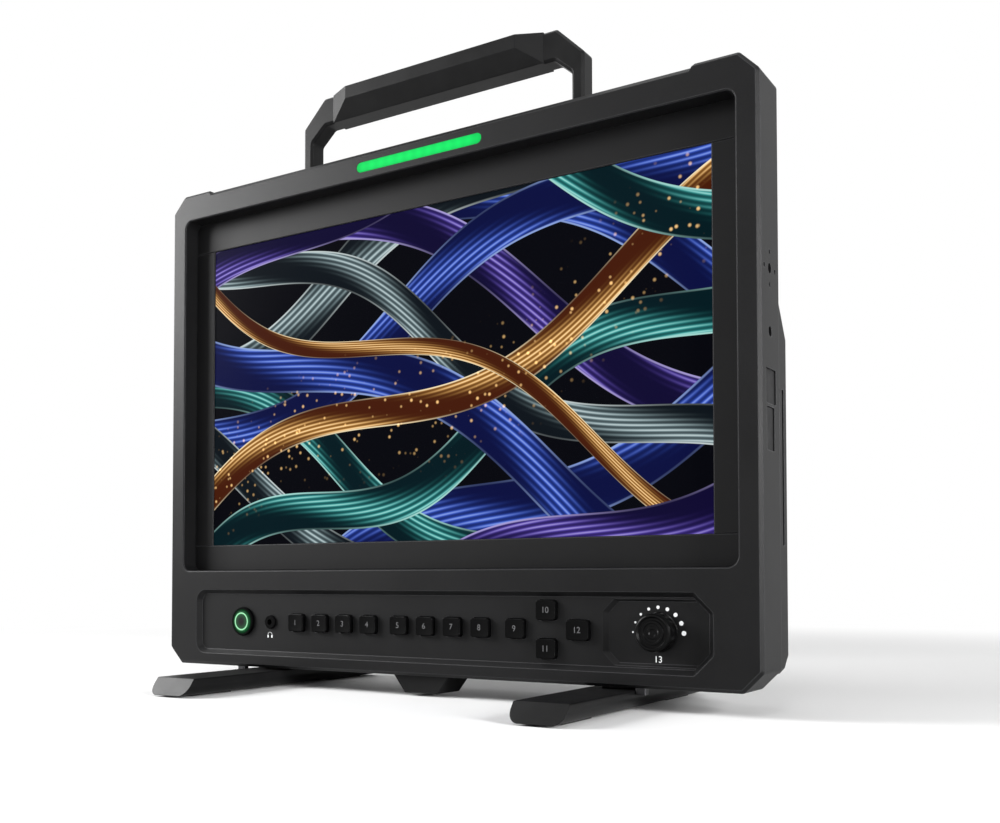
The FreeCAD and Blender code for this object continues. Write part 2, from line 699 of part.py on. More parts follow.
def trims():
    """Full width strips above and below the screen, and shorter ones beside it."""
    half = OPENING_WIDTH / 2
    screen = SCREEN_WIDTH / 2
    low = SCREEN_Z - SCREEN_HEIGHT / 2
    high = SCREEN_Z + SCREEN_HEIGHT / 2
    field = plate(0, (OPENING_Z + OPENING_TOP_Z) / 2, OPENING_WIDTH - 2 * SNUG, OPENING_HEIGHT - 2 * SNUG,
                  RECESS_DEPTH, GLASS_DEPTH, RECESS_ROUND - SNUG)
    top = trim_strip(-half, half, high, OPENING_TOP_Z).common(field)
    bottom = trim_strip(-half, half, OPENING_Z, low).common(field)
    left = trim_strip(-half + SNUG, -screen, low, high)
    right = trim_strip(screen, half - SNUG, low, high)
    return {"top_trim": top, "bottom_trim": bottom, "left_trim": left, "right_trim": right}


def screen_glass():
    """Cover glass that fills the floor of the recess."""
    return plate(0, (OPENING_Z + OPENING_TOP_Z) / 2, OPENING_WIDTH - 2 * LOOSE, OPENING_HEIGHT - 2 * LOOSE,
                 GLASS_DEPTH, LCD_DEPTH, RECESS_ROUND - LOOSE)


def lcd_panel():
    """Liquid crystal cell behind the glass."""
    return box(-LCD_WIDTH / 2, LCD_WIDTH / 2, LCD_DEPTH, BACKLIGHT_DEPTH,
               SCREEN_Z - LCD_HEIGHT / 2, SCREEN_Z + LCD_HEIGHT / 2)


def backlight_tray():
    """Backlight in its tray behind the cell."""
    tray = box(-LCD_WIDTH / 2, LCD_WIDTH / 2, BACKLIGHT_DEPTH, BRACKET_DEPTH,
               SCREEN_Z - LCD_HEIGHT / 2, SCREEN_Z + LCD_HEIGHT / 2)
    uprights = [e for e in tray.Edges if e.BoundBox.YLength > BACKLIGHT_THICK / 2]
    return tray.makeChamfer(BACKLIGHT_CORNER_CUT, uprights)


def panel_bracket():
    """Steel plate that presses the panel into the frame and carries the main board."""
    z = (OPENING_Z + OPENING_TOP_Z) / 2
    sheet = plate(0, z, OPENING_WIDTH - 2 * LOOSE, OPENING_HEIGHT - 2 * LOOSE, BRACKET_DEPTH, BRACKET_BACK,
                  RECESS_ROUND - LOOSE)
    holes = [rod_y(hole_x, hole_z, SCREW[0] + SNUG, BRACKET_DEPTH - 1, BRACKET_BACK + 1)
             for hole_x, hole_z in bracket_screw_places()]
    return sheet.cut(holes)


def inner_screws():
    """Screws of the panel bracket and of the key board."""
    forward = V(0, -1, 0)
    screws = [screw(at(x, BRACKET_BACK + SCREW[2], z), forward, SCREW, BRACKET_THICK + SCREW_BITE - SNUG)
              for x, z in bracket_screw_places()]
    head = KEY_BOARD_DEPTH + BOARD_THICK + SMALL_SCREW[2]
    length = BOARD_THICK + SCREW_BITE / 2
    screws += [screw(at(x, head, z), forward, SMALL_SCREW, length)
               for x, z in board_posts()]
    return group(screws)


# Tally light
def tally_lens():
    """Clear green bar with a flange behind the rail's front wall."""
    lens = stadium(0, TALLY_Z, TALLY_LENGTH - 2 * SNUG, TALLY_HEIGHT - 2 * SNUG, -TALLY_PROUD, TALLY_WALL)
    front = edges_at_depth(lens, -TALLY_PROUD)
    lens = lens.makeChamfer(TALLY_PROUD, front)
    flange = plate(0, TALLY_Z, TALLY_LENGTH + 2 * TALLY_FLANGE, TALLY_HEIGHT + 2 * TALLY_FLANGE,
                   TALLY_WALL, TALLY_WALL + TALLY_FLANGE_THICK, LOOSE)
    return lens.fuse(flange).removeSplitter()


def tally_board():
    """Light strip behind the lens."""
    start = TALLY_WALL + TALLY_FLANGE_THICK
    return plate(0, TALLY_Z, TALLY_LENGTH + 2 * TALLY_FLANGE, TALLY_HEIGHT + 2 * TALLY_FLANGE,
                 start, start + BOARD_THICK, LOOSE)


# Keys and what lies behind them
def key(x, z, width):
    """Key cap with a lip behind the panel that keeps it in."""
    cap = plate(x, z, width, KEY_HEIGHT, KEY_BELOW_FACE, KEY_LIP_DEPTH, KEY_ROUND)
    cap = cap.makeFillet(KEY_EDGE, edges_at_depth(cap, KEY_BELOW_FACE))
    lip = plate(x, z, width + 2 * KEY_LIP, KEY_HEIGHT + 2 * KEY_LIP,
                KEY_LIP_DEPTH, KEY_LIP_DEPTH + KEY_LIP, KEY_ROUND)
    return cap.fuse(lip).removeSplitter()


def key_mat_span():
    """Left, right, lower and upper edge of the key mat."""
    places = key_places()
    left = min(x - width / 2 for x, z, width in places) - MAT_MARGIN
    right = max(x + width / 2 for x, z, width in places) + MAT_MARGIN
    rise = COLUMN_RISE + KEY_HEIGHT / 2 + MAT_MARGIN
    return left, right, POCKET_Z - rise, POCKET_Z + rise


def key_mat():
    """Silicone sheet with a dome behind each key."""
    left, right, low, high = key_mat_span()
    mat = box(left, right, MAT_DEPTH, KEY_BOARD_DEPTH, low, high)
    tip = DOME_RADIUS - DOME_HEIGHT / 2
    domes = [Part.makeCone(DOME_RADIUS, tip, DOME_HEIGHT, at(x, MAT_DEPTH, z), V(0, -1, 0))
             for x, z, width in key_places()]
    holes = [rod_y(x, z, POST_RADIUS + LOOSE, MAT_DEPTH - 1, KEY_BOARD_DEPTH + 1)
             for x, z in board_posts()]
    return mat.fuse(domes).cut(holes)


def key_board():
    """Circuit board behind the mat, long enough to carry the encoder too."""
    left, right, low, high = key_mat_span()
    right = KNOB_X + ENCODER_SIZE / 2 + MAT_MARGIN
    board = box(left, right, KEY_BOARD_DEPTH, KEY_BOARD_DEPTH + BOARD_THICK, low, high)
    holes = [rod_y(x, z, SMALL_SCREW[0] + SNUG, KEY_BOARD_DEPTH - 1, KEY_BOARD_DEPTH + BOARD_THICK + 1)
             for x, z in board_posts()]
    return board.cut(holes)


# Power button
def power_step():
    """Depth of the inner step that keeps the power cap in."""
    return POCKET_DEPTH - POWER_RING_THICK - POWER_CAP_PROUD + POWER_SKIRT_LENGTH


def power_button_body():
    """Black ring in front of the panel and the barrel behind it, open for the cap."""
    front = POCKET_DEPTH - POWER_RING_THICK
    back = POCKET_DEPTH + POWER_BARREL_LENGTH
    ring = rod_y(POWER_X, POCKET_Z, POWER_RING_RADIUS, front, POCKET_DEPTH)
    ring = ring.makeChamfer(POWER_RING_EDGE, edges_at_depth(ring, front))
    body = ring.fuse(rod_y(POWER_X, POCKET_Z, POWER_BARREL_RADIUS, POCKET_DEPTH, back))
    mouth = rod_y(POWER_X, POCKET_Z, POWER_CAP_RADIUS + LOOSE, front - 1, power_step())
    floor = power_step() + POWER_SKIRT_LENGTH + POWER_TRAVEL + LOOSE
    bore = rod_y(POWER_X, POCKET_Z, POWER_CAP_RADIUS + POWER_CAP_SKIRT + LOOSE, power_step(), floor)
    return body.cut([mouth, bore]).removeSplitter()


def power_light_groove(play):
    """Ring shaped space for the light in the front of the cap."""
    front = POCKET_DEPTH - POWER_RING_THICK - POWER_CAP_PROUD
    outer = rod_y(POWER_X, POCKET_Z, LIGHT_RING_OUTER + play, front, front + LIGHT_RING_THICK)
    return outer.cut(rod_y(POWER_X, POCKET_Z, LIGHT_RING_INNER - play, front, front + LIGHT_RING_THICK))


def power_button_cap():
    """Pressed cap with a skirt behind the step and a groove for the light ring."""
    front = POCKET_DEPTH - POWER_RING_THICK - POWER_CAP_PROUD
    skirt = power_step() + SNUG
    cap = rod_y(POWER_X, POCKET_Z, POWER_CAP_RADIUS, front, skirt)
    cap = cap.makeChamfer(POWER_CAP_PROUD / 2, edges_at_depth(cap, front))
    foot = rod_y(POWER_X, POCKET_Z, POWER_CAP_RADIUS + POWER_CAP_SKIRT, skirt, skirt + POWER_SKIRT_LENGTH)
    return cap.fuse(foot).cut(power_light_groove(SCREW_PLAY)).removeSplitter()


def power_button_nut():
    """Ring nut that clamps the power button to the panel."""
    end = PANEL_BACK + NUT_THICK
    outer = rod_y(POWER_X, POCKET_Z, POWER_BARREL_RADIUS + NUT_MARGIN, PANEL_BACK, end)
    return outer.cut(rod_y(POWER_X, POCKET_Z, POWER_BARREL_RADIUS + SCREW_PLAY, PANEL_BACK - 1, end + 1))


# Headphone socket
def headphone_jack():
    """Socket body behind the panel with its nose through it."""
    front = POCKET_DEPTH - JACK_NUT_THICK
    half = JACK_BODY / 2
    back = PANEL_BACK + JACK_BODY_LENGTH
    body = box(JACK_X - half, JACK_X + half, PANEL_BACK, back, POCKET_Z - half, POCKET_Z + half)
    nose = rod_y(JACK_X, POCKET_Z, JACK_NOSE_RADIUS, front, PANEL_BACK)
    return body.fuse(nose).cut(rod_y(JACK_X, POCKET_Z, JACK_BORE_RADIUS, front - 1, front + JACK_BORE_LENGTH))


def headphone_nut():
    """Ring nut round the nose of the socket."""
    front = POCKET_DEPTH - JACK_NUT_THICK
    nut = rod_y(JACK_X, POCKET_Z, JACK_NUT_RADIUS, front, POCKET_DEPTH)
    nut = nut.makeChamfer(JACK_NUT_EDGE, edges_at_depth(nut, front))
    return nut.cut(rod_y(JACK_X, POCKET_Z, JACK_NOSE_RADIUS + SCREW_PLAY, front - 1, POCKET_DEPTH + 1))


# Menu knob and encoder
def menu_knob():
    """Fluted knob, dished in front and hollow behind for the nut."""
    front = KNOB_BACK - KNOB_LENGTH
    knob = rod_y(KNOB_X, POCKET_Z, KNOB_RADIUS, front, KNOB_BACK)
    knob = knob.makeChamfer(KNOB_EDGE, edges_at_depth(knob, front))
    flute_end = KNOB_BACK - KNOB_FLUTE_FROM_BACK
    flute = rod_y(KNOB_X + KNOB_RADIUS, POCKET_Z, KNOB_FLUTE_DEPTH, flute_end - KNOB_FLUTE_LENGTH, flute_end)
    flutes = []
    for i in range(KNOB_FLUTES):
        turned = flute.copy()
        turned.rotate(at(KNOB_X, 0, POCKET_Z), V(0, 1, 0), 360 * i / KNOB_FLUTES)
        flutes.append(turned)
    dish = rod_y(KNOB_X, POCKET_Z, KNOB_DISH_RADIUS, front - 1, front + KNOB_DISH_DEPTH)
    hub = Part.makeCone(KNOB_HUB_RADIUS + KNOB_DISH_DEPTH, KNOB_HUB_RADIUS, KNOB_DISH_DEPTH,
                        at(KNOB_X, front + KNOB_DISH_DEPTH, POCKET_Z), V(0, -1, 0))
    hollow_floor = PAD_TOP - BUSH_PROUD - KNOB_TRAVEL - LOOSE
    hollow = rod_y(KNOB_X, POCKET_Z, KNOB_HOLLOW_RADIUS, hollow_floor, KNOB_BACK + 1)
    bore = rod_y(KNOB_X, POCKET_Z, SHAFT_RADIUS + SCREW_PLAY, front + KNOB_CROWN, KNOB_BACK + 1)
    return knob.cut([dish.cut(hub), hollow, bore] + flutes)


def plunger_depth():
    """Depth of the front of the push switch plunger, behind the shaft's end."""
    return KEY_BOARD_DEPTH - LOOSE - KNOB_TRAVEL - PLUNGER_LENGTH


def encoder_shaft():
    """Shaft from inside the knob to the push switch."""
    tip = KNOB_BACK - KNOB_LENGTH + KNOB_CROWN + SNUG
    return rod_y(KNOB_X, POCKET_Z, SHAFT_RADIUS, tip, plunger_depth() - SNUG)


def encoder_plunger():
    """Disc that the shaft pushes against the switch."""
    return rod_y(KNOB_X, POCKET_Z, SHAFT_RADIUS, plunger_depth(), plunger_depth() + PLUNGER_LENGTH)


def encoder_body():
    """Encoder case behind the panel with its threaded bush through the pad."""
    half = ENCODER_SIZE / 2
    case = box(KNOB_X - half, KNOB_X + half, PANEL_BACK, KEY_BOARD_DEPTH, POCKET_Z - half, POCKET_Z + half)
    bush = rod_y(KNOB_X, POCKET_Z, BUSH_RADIUS, PAD_TOP - BUSH_PROUD, PANEL_BACK)
    bore = rod_y(KNOB_X, POCKET_Z, SHAFT_RADIUS + SHAFT_FIT, PAD_TOP - BUSH_PROUD - 1, KEY_BOARD_DEPTH + 1)
    return case.fuse(bush).cut(bore)


def encoder_nut():
    """Six sided nut that clamps the encoder to the pad, hidden in the knob."""
    front = PAD_TOP - ENCODER_NUT_THICK
    r = ENCODER_NUT_RADIUS
    turns = [math.pi / 3 * i for i in range(6)]
    corners = [(KNOB_X + r * math.cos(turn), POCKET_Z + r * math.sin(turn)) for turn in turns]
    nut = front_prism(corners, front, PAD_TOP)
    return nut.cut(rod_y(KNOB_X, POCKET_Z, BUSH_RADIUS + SCREW_PLAY, front - 1, PAD_TOP + 1))


# Rear cover
def cover_block():
    """Outer form of the cover: shallow above, a sloped shoulder and the deep hump below."""
    low = BODY_Z + COVER_INSET
    high = TOP_Z - COVER_TOP_INSET
    back = COVER_HUMP_DEPTH
    section = [(FRAME_DEPTH, low), (back - HUMP_BOTTOM_CUT, low), (back, low + HUMP_BOTTOM_CUT)]
    section += [(back, SCREEN_Z + SHOULDER_FOOT_RISE), (COVER_UPPER_DEPTH, SCREEN_Z + SHOULDER_TOP_RISE)]
    section += [(COVER_UPPER_DEPTH, high), (FRAME_DEPTH, high)]
    half = HALF_WIDTH - COVER_INSET
    block = side_prism(section, -half, half)
    front = FRONT + FRAME_DEPTH
    rims = [e for e in block.Edges if e.BoundBox.XLength < 1e-4 and e.BoundBox.YMax > front + 1e-4]
    return block.makeChamfer(COVER_EDGE, rims)


def cover_depth_at(z):
    """Depth of the cover's back at one height, above or below the shoulder."""
    return COVER_UPPER_DEPTH if z > SCREEN_Z + SHOULDER_TOP_RISE else COVER_HUMP_DEPTH


def vent_slots():
    """Upright slots in the sides of the hump and across the upper back."""
    slots = []
    outside = HALF_WIDTH - COVER_INSET + 1
    inside = outside - COVER_WALL - 2
    low = SIDE_SLOT_Z - SIDE_SLOT_LENGTH / 2
    for i in range(SIDE_SLOTS):
        d0 = SIDE_SLOT_FIRST_DEPTH + SIDE_SLOT_PITCH * i
        for x0, x1 in ((-outside, -inside), (inside, outside)):
            slots.append(box(x0, x1, d0, d0 + SIDE_SLOT_WIDTH, low, low + SIDE_SLOT_LENGTH))
    for i in range(REAR_SLOTS):
        x = (i - (REAR_SLOTS - 1) / 2) * REAR_SLOT_PITCH
        slots.append(stadium(x, REAR_SLOT_Z, REAR_SLOT_WIDTH, REAR_SLOT_LENGTH,
                             COVER_UPPER_DEPTH - COVER_WALL - 1, COVER_UPPER_DEPTH + 1))
    return slots


def vesa_places():
    """Places (x, z) of the four threaded holes of the stand pattern."""
    step = VESA_PITCH / 2
    return [(sx * step, VESA_Z + sz * step) for sx in (-1, 1) for sz in (-1, 1)]


def coax_xs():
    """Places along the back of the coaxial sockets."""
    return [COAX_FIRST_X + COAX_PITCH * i for i in range(COAX_COUNT)]


def socket_cuts():
    """Openings in the back for the sockets."""
    d0 = COVER_HUMP_DEPTH - COVER_WALL - 1
    d1 = COVER_HUMP_DEPTH + 1
    cuts = [rod_y(x, SOCKET_Z, COAX_NECK_RADIUS + SNUG, d0, d1) for x in coax_xs()]
    for x in VIDEO_XS:
        cuts.append(plate(x, SOCKET_Z, VIDEO_WIDTH + 2 * SNUG, VIDEO_HEIGHT + 2 * SNUG, d0, d1, VIDEO_SHELL))
    cuts.append(rod_y(POWER_INLET_X, POWER_INLET_Z, INLET_BODY_RADIUS + SNUG, d0, d1))
    return cuts


def rear_cover():
    """Shell with screw columns, stand bosses, vents and socket openings."""
    block = cover_block()
    front = FRONT + FRAME_DEPTH
    mouth = [f for f in block.Faces if f.BoundBox.YMax < front + 1e-4]
    cover = block.makeThickness(mouth, -COVER_WALL, 1e-3)
    columns = []
    holes = []
    for x, z in cover_screw_places():
        back = cover_depth_at(z)
        columns.append(rod_y(x, z, COVER_BOSS_RADIUS, FRAME_DEPTH, back - COVER_WALL / 2))
        holes.append(rod_y(x, z, SCREW[0] + SNUG, FRAME_DEPTH - 1, back + 1))
        holes.append(rod_y(x, z, SCREW[1] + HEAD_PLAY, back - SCREW[2], back + 1))
    back = COVER_HUMP_DEPTH
    for x, z in vesa_places():
        columns.append(rod_y(x, z, VESA_BOSS_RADIUS, back - VESA_BOSS_LENGTH, back - COVER_WALL / 2))
        holes.append(rod_y(x, z, VESA_HOLE_RADIUS, back - VESA_HOLE_LENGTH, back + 1))
    return cover.fuse(columns).cut(holes + vent_slots() + socket_cuts()).removeSplitter()


def cover_screws():
    """Screws through the cover's columns into the frame."""
    screws = []
    for x, z in cover_screw_places():
        back = cover_depth_at(z)
        length = back - SCREW[2] - FRAME_DEPTH + SCREW_BITE - SNUG
        screws.append(screw(at(x, back, z), V(0, -1, 0), SCREW, length))
    return group(screws)


# Boards and sockets
def main_board():
    """Main circuit board on its standoffs."""
    start = BRACKET_BACK + STANDOFF_LENGTH
    return plate(0, MAIN_BOARD_Z, MAIN_BOARD_WIDTH, MAIN_BOARD_HEIGHT, start, start + BOARD_THICK, LOOSE)


def board_standoffs():
    """Round posts between the panel bracket and the main board."""
    w = MAIN_BOARD_WIDTH / 2 - STANDOFF_MARGIN
    h = MAIN_BOARD_HEIGHT / 2 - STANDOFF_MARGIN
    return group([rod_y(x, MAIN_BOARD_Z + z, STANDOFF_RADIUS, BRACKET_BACK, BRACKET_BACK + STANDOFF_LENGTH)
                  for x in (-w, 0, w) for z in (-h, h)])


def heatsink():
    """Finned block on the main board."""
    start = BRACKET_BACK + STANDOFF_LENGTH + BOARD_THICK
    low = MAIN_BOARD_Z - SINK_HEIGHT / 2
    base = box(-SINK_WIDTH / 2, SINK_WIDTH / 2, start, start + SINK_BASE, low, low + SINK_HEIGHT)
    step = (SINK_WIDTH - SINK_FIN_THICK) / (SINK_FINS - 1)
    top = start + SINK_BASE + SINK_FIN_HEIGHT
    fins = []
    for i in range(SINK_FINS):
        x = -SINK_WIDTH / 2 + step * i
        fins.append(box(x, x + SINK_FIN_THICK, start + SINK_BASE, top, low, low + SINK_HEIGHT))
    return base.fuse(fins).removeSplitter()


def io_board():
    """Small board that carries the sockets in the back."""
    left = COAX_FIRST_X - COAX_BODY / 2 - IO_BOARD_MARGIN
    right = max(VIDEO_XS) + VIDEO_WIDTH / 2 + IO_BOARD_MARGIN
    return box(left, right, IO_BOARD_DEPTH - BOARD_THICK, IO_BOARD_DEPTH,
               SOCKET_Z - IO_BOARD_HEIGHT / 2, SOCKET_Z + IO_BOARD_HEIGHT / 2)


def coax_socket(x):
    """Bayonet socket: square body, neck, nut and a barrel with two lugs round its core."""
    half = COAX_BODY / 2
    inside = COVER_HUMP_DEPTH - COVER_WALL
    nut_end = COVER_HUMP_DEPTH + COAX_NUT_THICK
    end = nut_end + COAX_BARREL_LENGTH
    body = box(x - half, x + half, IO_BOARD_DEPTH, inside, SOCKET_Z - half, SOCKET_Z + half)
    neck = rod_y(x, SOCKET_Z, COAX_NECK_RADIUS, inside, COVER_HUMP_DEPTH)
    nut = rod_y(x, SOCKET_Z, COAX_NUT_RADIUS, COVER_HUMP_DEPTH, nut_end)
    barrel = rod_y(x, SOCKET_Z, COAX_BARREL_RADIUS, nut_end, end)
    reach = COAX_BARREL_RADIUS + COAX_LUG_REACH
    lugs = rod_z(x, end - COAX_LUG_FROM_END, COAX_LUG_RADIUS, SOCKET_Z - reach, SOCKET_Z + reach)
    bore = rod_y(x, SOCKET_Z, COAX_BORE_RADIUS, nut_end, end + 1)
    core = rod_y(x, SOCKET_Z, COAX_CORE_RADIUS, nut_end, end - COAX_LUG_REACH)
    return body.fuse([neck, nut, barrel, lugs]).cut(bore).fuse(core).removeSplitter()


def video_socket(x):
    """Flat socket: a thin shell with a tongue in its mouth."""
    back = COVER_HUMP_DEPTH
    shell = plate(x, SOCKET_Z, VIDEO_WIDTH, VIDEO_HEIGHT, IO_BOARD_DEPTH, back, VIDEO_SHELL)
    inner_width = VIDEO_WIDTH - 2 * VIDEO_SHELL
    inner_height = VIDEO_HEIGHT - 2 * VIDEO_SHELL
    mouth = plate(x, SOCKET_Z, inner_width, inner_height, back - VIDEO_MOUTH, back + 1, VIDEO_SHELL / 2)
    start = back - VIDEO_MOUTH
    tongue = plate(x, SOCKET_Z, VIDEO_TONGUE_WIDTH, VIDEO_TONGUE_THICK,
                   start, start + VIDEO_TONGUE_LENGTH, VIDEO_SHELL / 2)
    return shell.cut(mouth).fuse(tongue).removeSplitter()


def dc_inlet():
    """Flanged round inlet with a cavity for the plug."""
    back = COVER_HUMP_DEPTH
    flange_end = back + INLET_FLANGE_THICK
    floor = flange_end - INLET_CAVITY_LENGTH
    flange = plate(POWER_INLET_X, POWER_INLET_Z, INLET_FLANGE_WIDTH, INLET_FLANGE_HEIGHT,
                   back, flange_end, INLET_FLANGE_ROUND)
    body = rod_y(POWER_INLET_X, POWER_INLET_Z, INLET_BODY_RADIUS, back - INLET_BODY_LENGTH, back)
    cavity = rod_y(POWER_INLET_X, POWER_INLET_Z, INLET_CAVITY_RADIUS, floor, flange_end + 1)
    return flange.fuse(body).cut(cavity).removeSplitter()


def dc_inlet_pins():
    """Four contact pins on the floor of the inlet."""
    floor = COVER_HUMP_DEPTH + INLET_FLANGE_THICK - INLET_CAVITY_LENGTH
    step = INLET_PIN_CIRCLE * math.sqrt(0.5)
    places = [(POWER_INLET_X + sx * step, POWER_INLET_Z + sz * step) for sx in (-1, 1) for sz in (-1, 1)]
    return group([rod_y(x, z, INLET_PIN_RADIUS, floor, floor + INLET_PIN_LENGTH) for x, z in places])


# Carry handle
def handle_leg_xs():
    """Centres of the two handle legs."""
    x = HANDLE_HALF_WIDTH - HANDLE_LEG / 2
    return -x, x


def handle_arch():
    """Flat arch with cut corners and a broken edge front and back."""
    seat = HANDLE_SEAT_Z
    top = seat + HANDLE_RISE
    under = top - HANDLE_BAR
    outer = HANDLE_HALF_WIDTH
    inner = outer - HANDLE_LEG
    half_outline = [(inner, seat, 0), (outer, seat, 0), (outer, top - HANDLE_CUT_HEIGHT, HANDLE_ROUND)]
    half_outline.append((outer - HANDLE_CUT_WIDTH, top, HANDLE_ROUND))
    inside = [(inner - HANDLE_INNER_CUT_WIDTH, under, HANDLE_ROUND)]
    inside.append((inner, under - HANDLE_INNER_CUT_HEIGHT, HANDLE_ROUND))
    outline = half_outline + [(-x, z, r) for x, z, r in reversed(half_outline)]
    outline += [(-x, z, r) for x, z, r in reversed(inside)] + inside
    arch = front_prism(outline, HANDLE_FRONT_DEPTH, HANDLE_FRONT_DEPTH + HANDLE_THICK)
    rims = edges_at_depth(arch, HANDLE_FRONT_DEPTH) + edges_at_depth(arch, HANDLE_FRONT_DEPTH + HANDLE_THICK)
    standing = [e for e in rims if e.BoundBox.ZMax > seat + 1e-4]
    return arch.makeChamfer(HANDLE_EDGE, standing)


def grip_swell(direction):
    """Faceted swelling of the bar, forward for -1 and backward for 1."""
    top = HANDLE_SEAT_Z + HANDLE_RISE
    under = top - HANDLE_BAR
    root = HANDLE_MIDDLE_DEPTH + direction * HANDLE_THICK / 2
    base_half = GRIP_HALF_WIDTH + GRIP_RUNOUT
    base = [(-base_half, under), (base_half, under), (base_half, top), (-base_half, top)]
    face = [(-GRIP_HALF_WIDTH, top - GRIP_FACE), (GRIP_HALF_WIDTH, top - GRIP_FACE)]
    face += [(GRIP_HALF_WIDTH, top), (-GRIP_HALF_WIDTH, top)]
    crest = root + direction * GRIP_PROUD
    swell = Part.makeLoft([front_loop(base, root), front_loop(face, crest)], True, True)
    d0, d1 = sorted((root, HANDLE_MIDDLE_DEPTH))
    return swell.fuse(box(-base_half, base_half, d0, d1, under, top))


def handle():
    """Arch with its faceted grip and blind screw holes in the legs."""
    body = handle_arch().fuse([grip_swell(-1), grip_swell(1)]).removeSplitter()
    hole_top = HANDLE_SEAT_Z + HANDLE_SCREW_REACH + SNUG
    holes = [rod_z(x, HANDLE_MIDDLE_DEPTH, BIG_SCREW[0] + SCREW_PLAY, HANDLE_SEAT_Z - 1, hole_top)
             for x in handle_leg_xs()]
    return body.cut(holes)


def handle_screws():
    """Screws from inside the top rail up into the handle legs."""
    length = HANDLE_SEAT_Z + HANDLE_SCREW_REACH - OPENING_TOP_Z - BIG_SCREW[2]
    return group([screw(at(x, HANDLE_MIDDLE_DEPTH, OPENING_TOP_Z), V(0, 0, 1), BIG_SCREW, length)
                  for x in handle_leg_xs()])


# Swing feet
def foot(x):
    """Bar with rounded lower edges and sloped ends, bored for its pivot."""
    toe = PIVOT_DEPTH - FOOT_FRONT_LENGTH
    heel = PIVOT_DEPTH + FOOT_BACK_LENGTH
    w = FOOT_WIDTH / 2
    low = FOOT_PAD_THICK
    section = [(x - w, low, FOOT_ROUND), (x + w, low, FOOT_ROUND)]
    section += [(x + w, FOOT_HEIGHT, FOOT_EDGE), (x - w, FOOT_HEIGHT, FOOT_EDGE)]
    bar = front_prism(section, toe, heel)
    side = [(toe, low), (heel, low)]
    side += [(heel - FOOT_END_SLOPE, FOOT_HEIGHT), (toe + FOOT_END_SLOPE, FOOT_HEIGHT)]
    bar = bar.common(side_prism(side, x - w - 1, x + w + 1))
    head_room = PIVOT_HEAD_SINK + PIVOT_HEAD_THICK
    cuts = [rod_z(x, PIVOT_DEPTH, PIVOT_RADIUS + PIVOT_FIT, 0, FOOT_HEIGHT + 1)]
    cuts.append(rod_z(x, PIVOT_DEPTH, PIVOT_HEAD_RADIUS + HEAD_PLAY, 0, low + head_room + LOOSE))
    cuts += foot_pad_solids(x, SNUG)
    return bar.cut(cuts)


def foot_pad_solids(x, play):
    """Two rubber pads let into the underside of one foot."""
    toe = PIVOT_DEPTH - FOOT_FRONT_LENGTH + FOOT_PAD_FROM_END
    heel = PIVOT_DEPTH + FOOT_BACK_LENGTH - FOOT_PAD_FROM_END
    w = FOOT_PAD_WIDTH / 2 + play
    top = FOOT_PAD_THICK + FOOT_PAD_SINK
    starts = (toe, heel - FOOT_PAD_LENGTH)
    return [box(x - w, x + w, d0 - play, d0 + FOOT_PAD_LENGTH + play, 0, top) for d0 in starts]


def foot_pivot_screw(x):
    """Shoulder screw that the foot swings on."""
    low = FOOT_PAD_THICK + PIVOT_HEAD_SINK
    shoulder = low + PIVOT_HEAD_THICK
    boss_top = BODY_Z + WALL + PIVOT_BOSS_HEIGHT
    head = rod_z(x, PIVOT_DEPTH, PIVOT_HEAD_RADIUS, low, shoulder)
    shank = rod_z(x, PIVOT_DEPTH, PIVOT_RADIUS, shoulder, BODY_Z)
    thread = rod_z(x, PIVOT_DEPTH, PIVOT_THREAD_RADIUS, BODY_Z, boss_top - 1 - SNUG)
    return head.fuse([shank, thread]).removeSplitter()


def foot_washer(x):
    """Thin friction washer between the foot and the frame."""
    low = FOOT_HEIGHT + WASHER_PLAY
    disc = rod_z(x, PIVOT_DEPTH, WASHER_RADIUS, low, BODY_Z)
    return disc.cut(rod_z(x, PIVOT_DEPTH, PIVOT_RADIUS + PIVOT_FIT, low - 1, BODY_Z + 1))


def foot_stop(side):
    """Block on the outside of the foot that stops it at straight ahead."""
    near = FOOT_X + FOOT_WIDTH / 2 + LOOSE
    x0, x1 = sorted((side * near, side * (near + STOP_WIDTH)))
    block = box(x0, x1, STOP_DEPTH, STOP_DEPTH + STOP_LENGTH, BODY_Z - STOP_HEIGHT, BODY_Z)
    uprights = [e for e in block.Edges if e.BoundBox.ZLength > STOP_HEIGHT / 2]
    return block.makeFillet(STOP_ROUND, uprights)


# Mount under the middle
def mount_screw_depths():
    """Depths of the two screws of the bottom mount."""
    return MOUNT_MIDDLE_DEPTH - MOUNT_SCREW_STEP, MOUNT_MIDDLE_DEPTH + MOUNT_SCREW_STEP


def bottom_mount():
    """Tapered block with a threaded hole for a stand."""
    low = BODY_Z - MOUNT_HEIGHT
    top_half = MOUNT_TOP_WIDTH / 2
    low_half = MOUNT_BOTTOM_WIDTH / 2
    outline = [(-low_half, low), (low_half, low), (top_half, BODY_Z), (-top_half, BODY_Z)]
    block = front_prism(outline, MOUNT_DEPTH, MOUNT_DEPTH + MOUNT_LENGTH)
    cuts = [rod_z(0, MOUNT_MIDDLE_DEPTH, CAMERA_THREAD_RADIUS, low - 1, low + CAMERA_THREAD_LENGTH)]
    for depth in mount_screw_depths():
        cuts.append(rod_z(0, depth, SCREW[0] + SNUG, low - 1, BODY_Z + 1))
        cuts.append(rod_z(0, depth, SCREW[1] + HEAD_PLAY, low - 1, low + SCREW[2]))
    return block.cut(cuts)


def bottom_mount_screws():
    """Screws that hold the bottom mount to the frame."""
    low = BODY_Z - MOUNT_HEIGHT
    length = MOUNT_HEIGHT - SCREW[2] + WALL
    return group([screw(at(0, depth, low), V(0, 0, 1), SCREW, length) for depth in mount_screw_depths()])


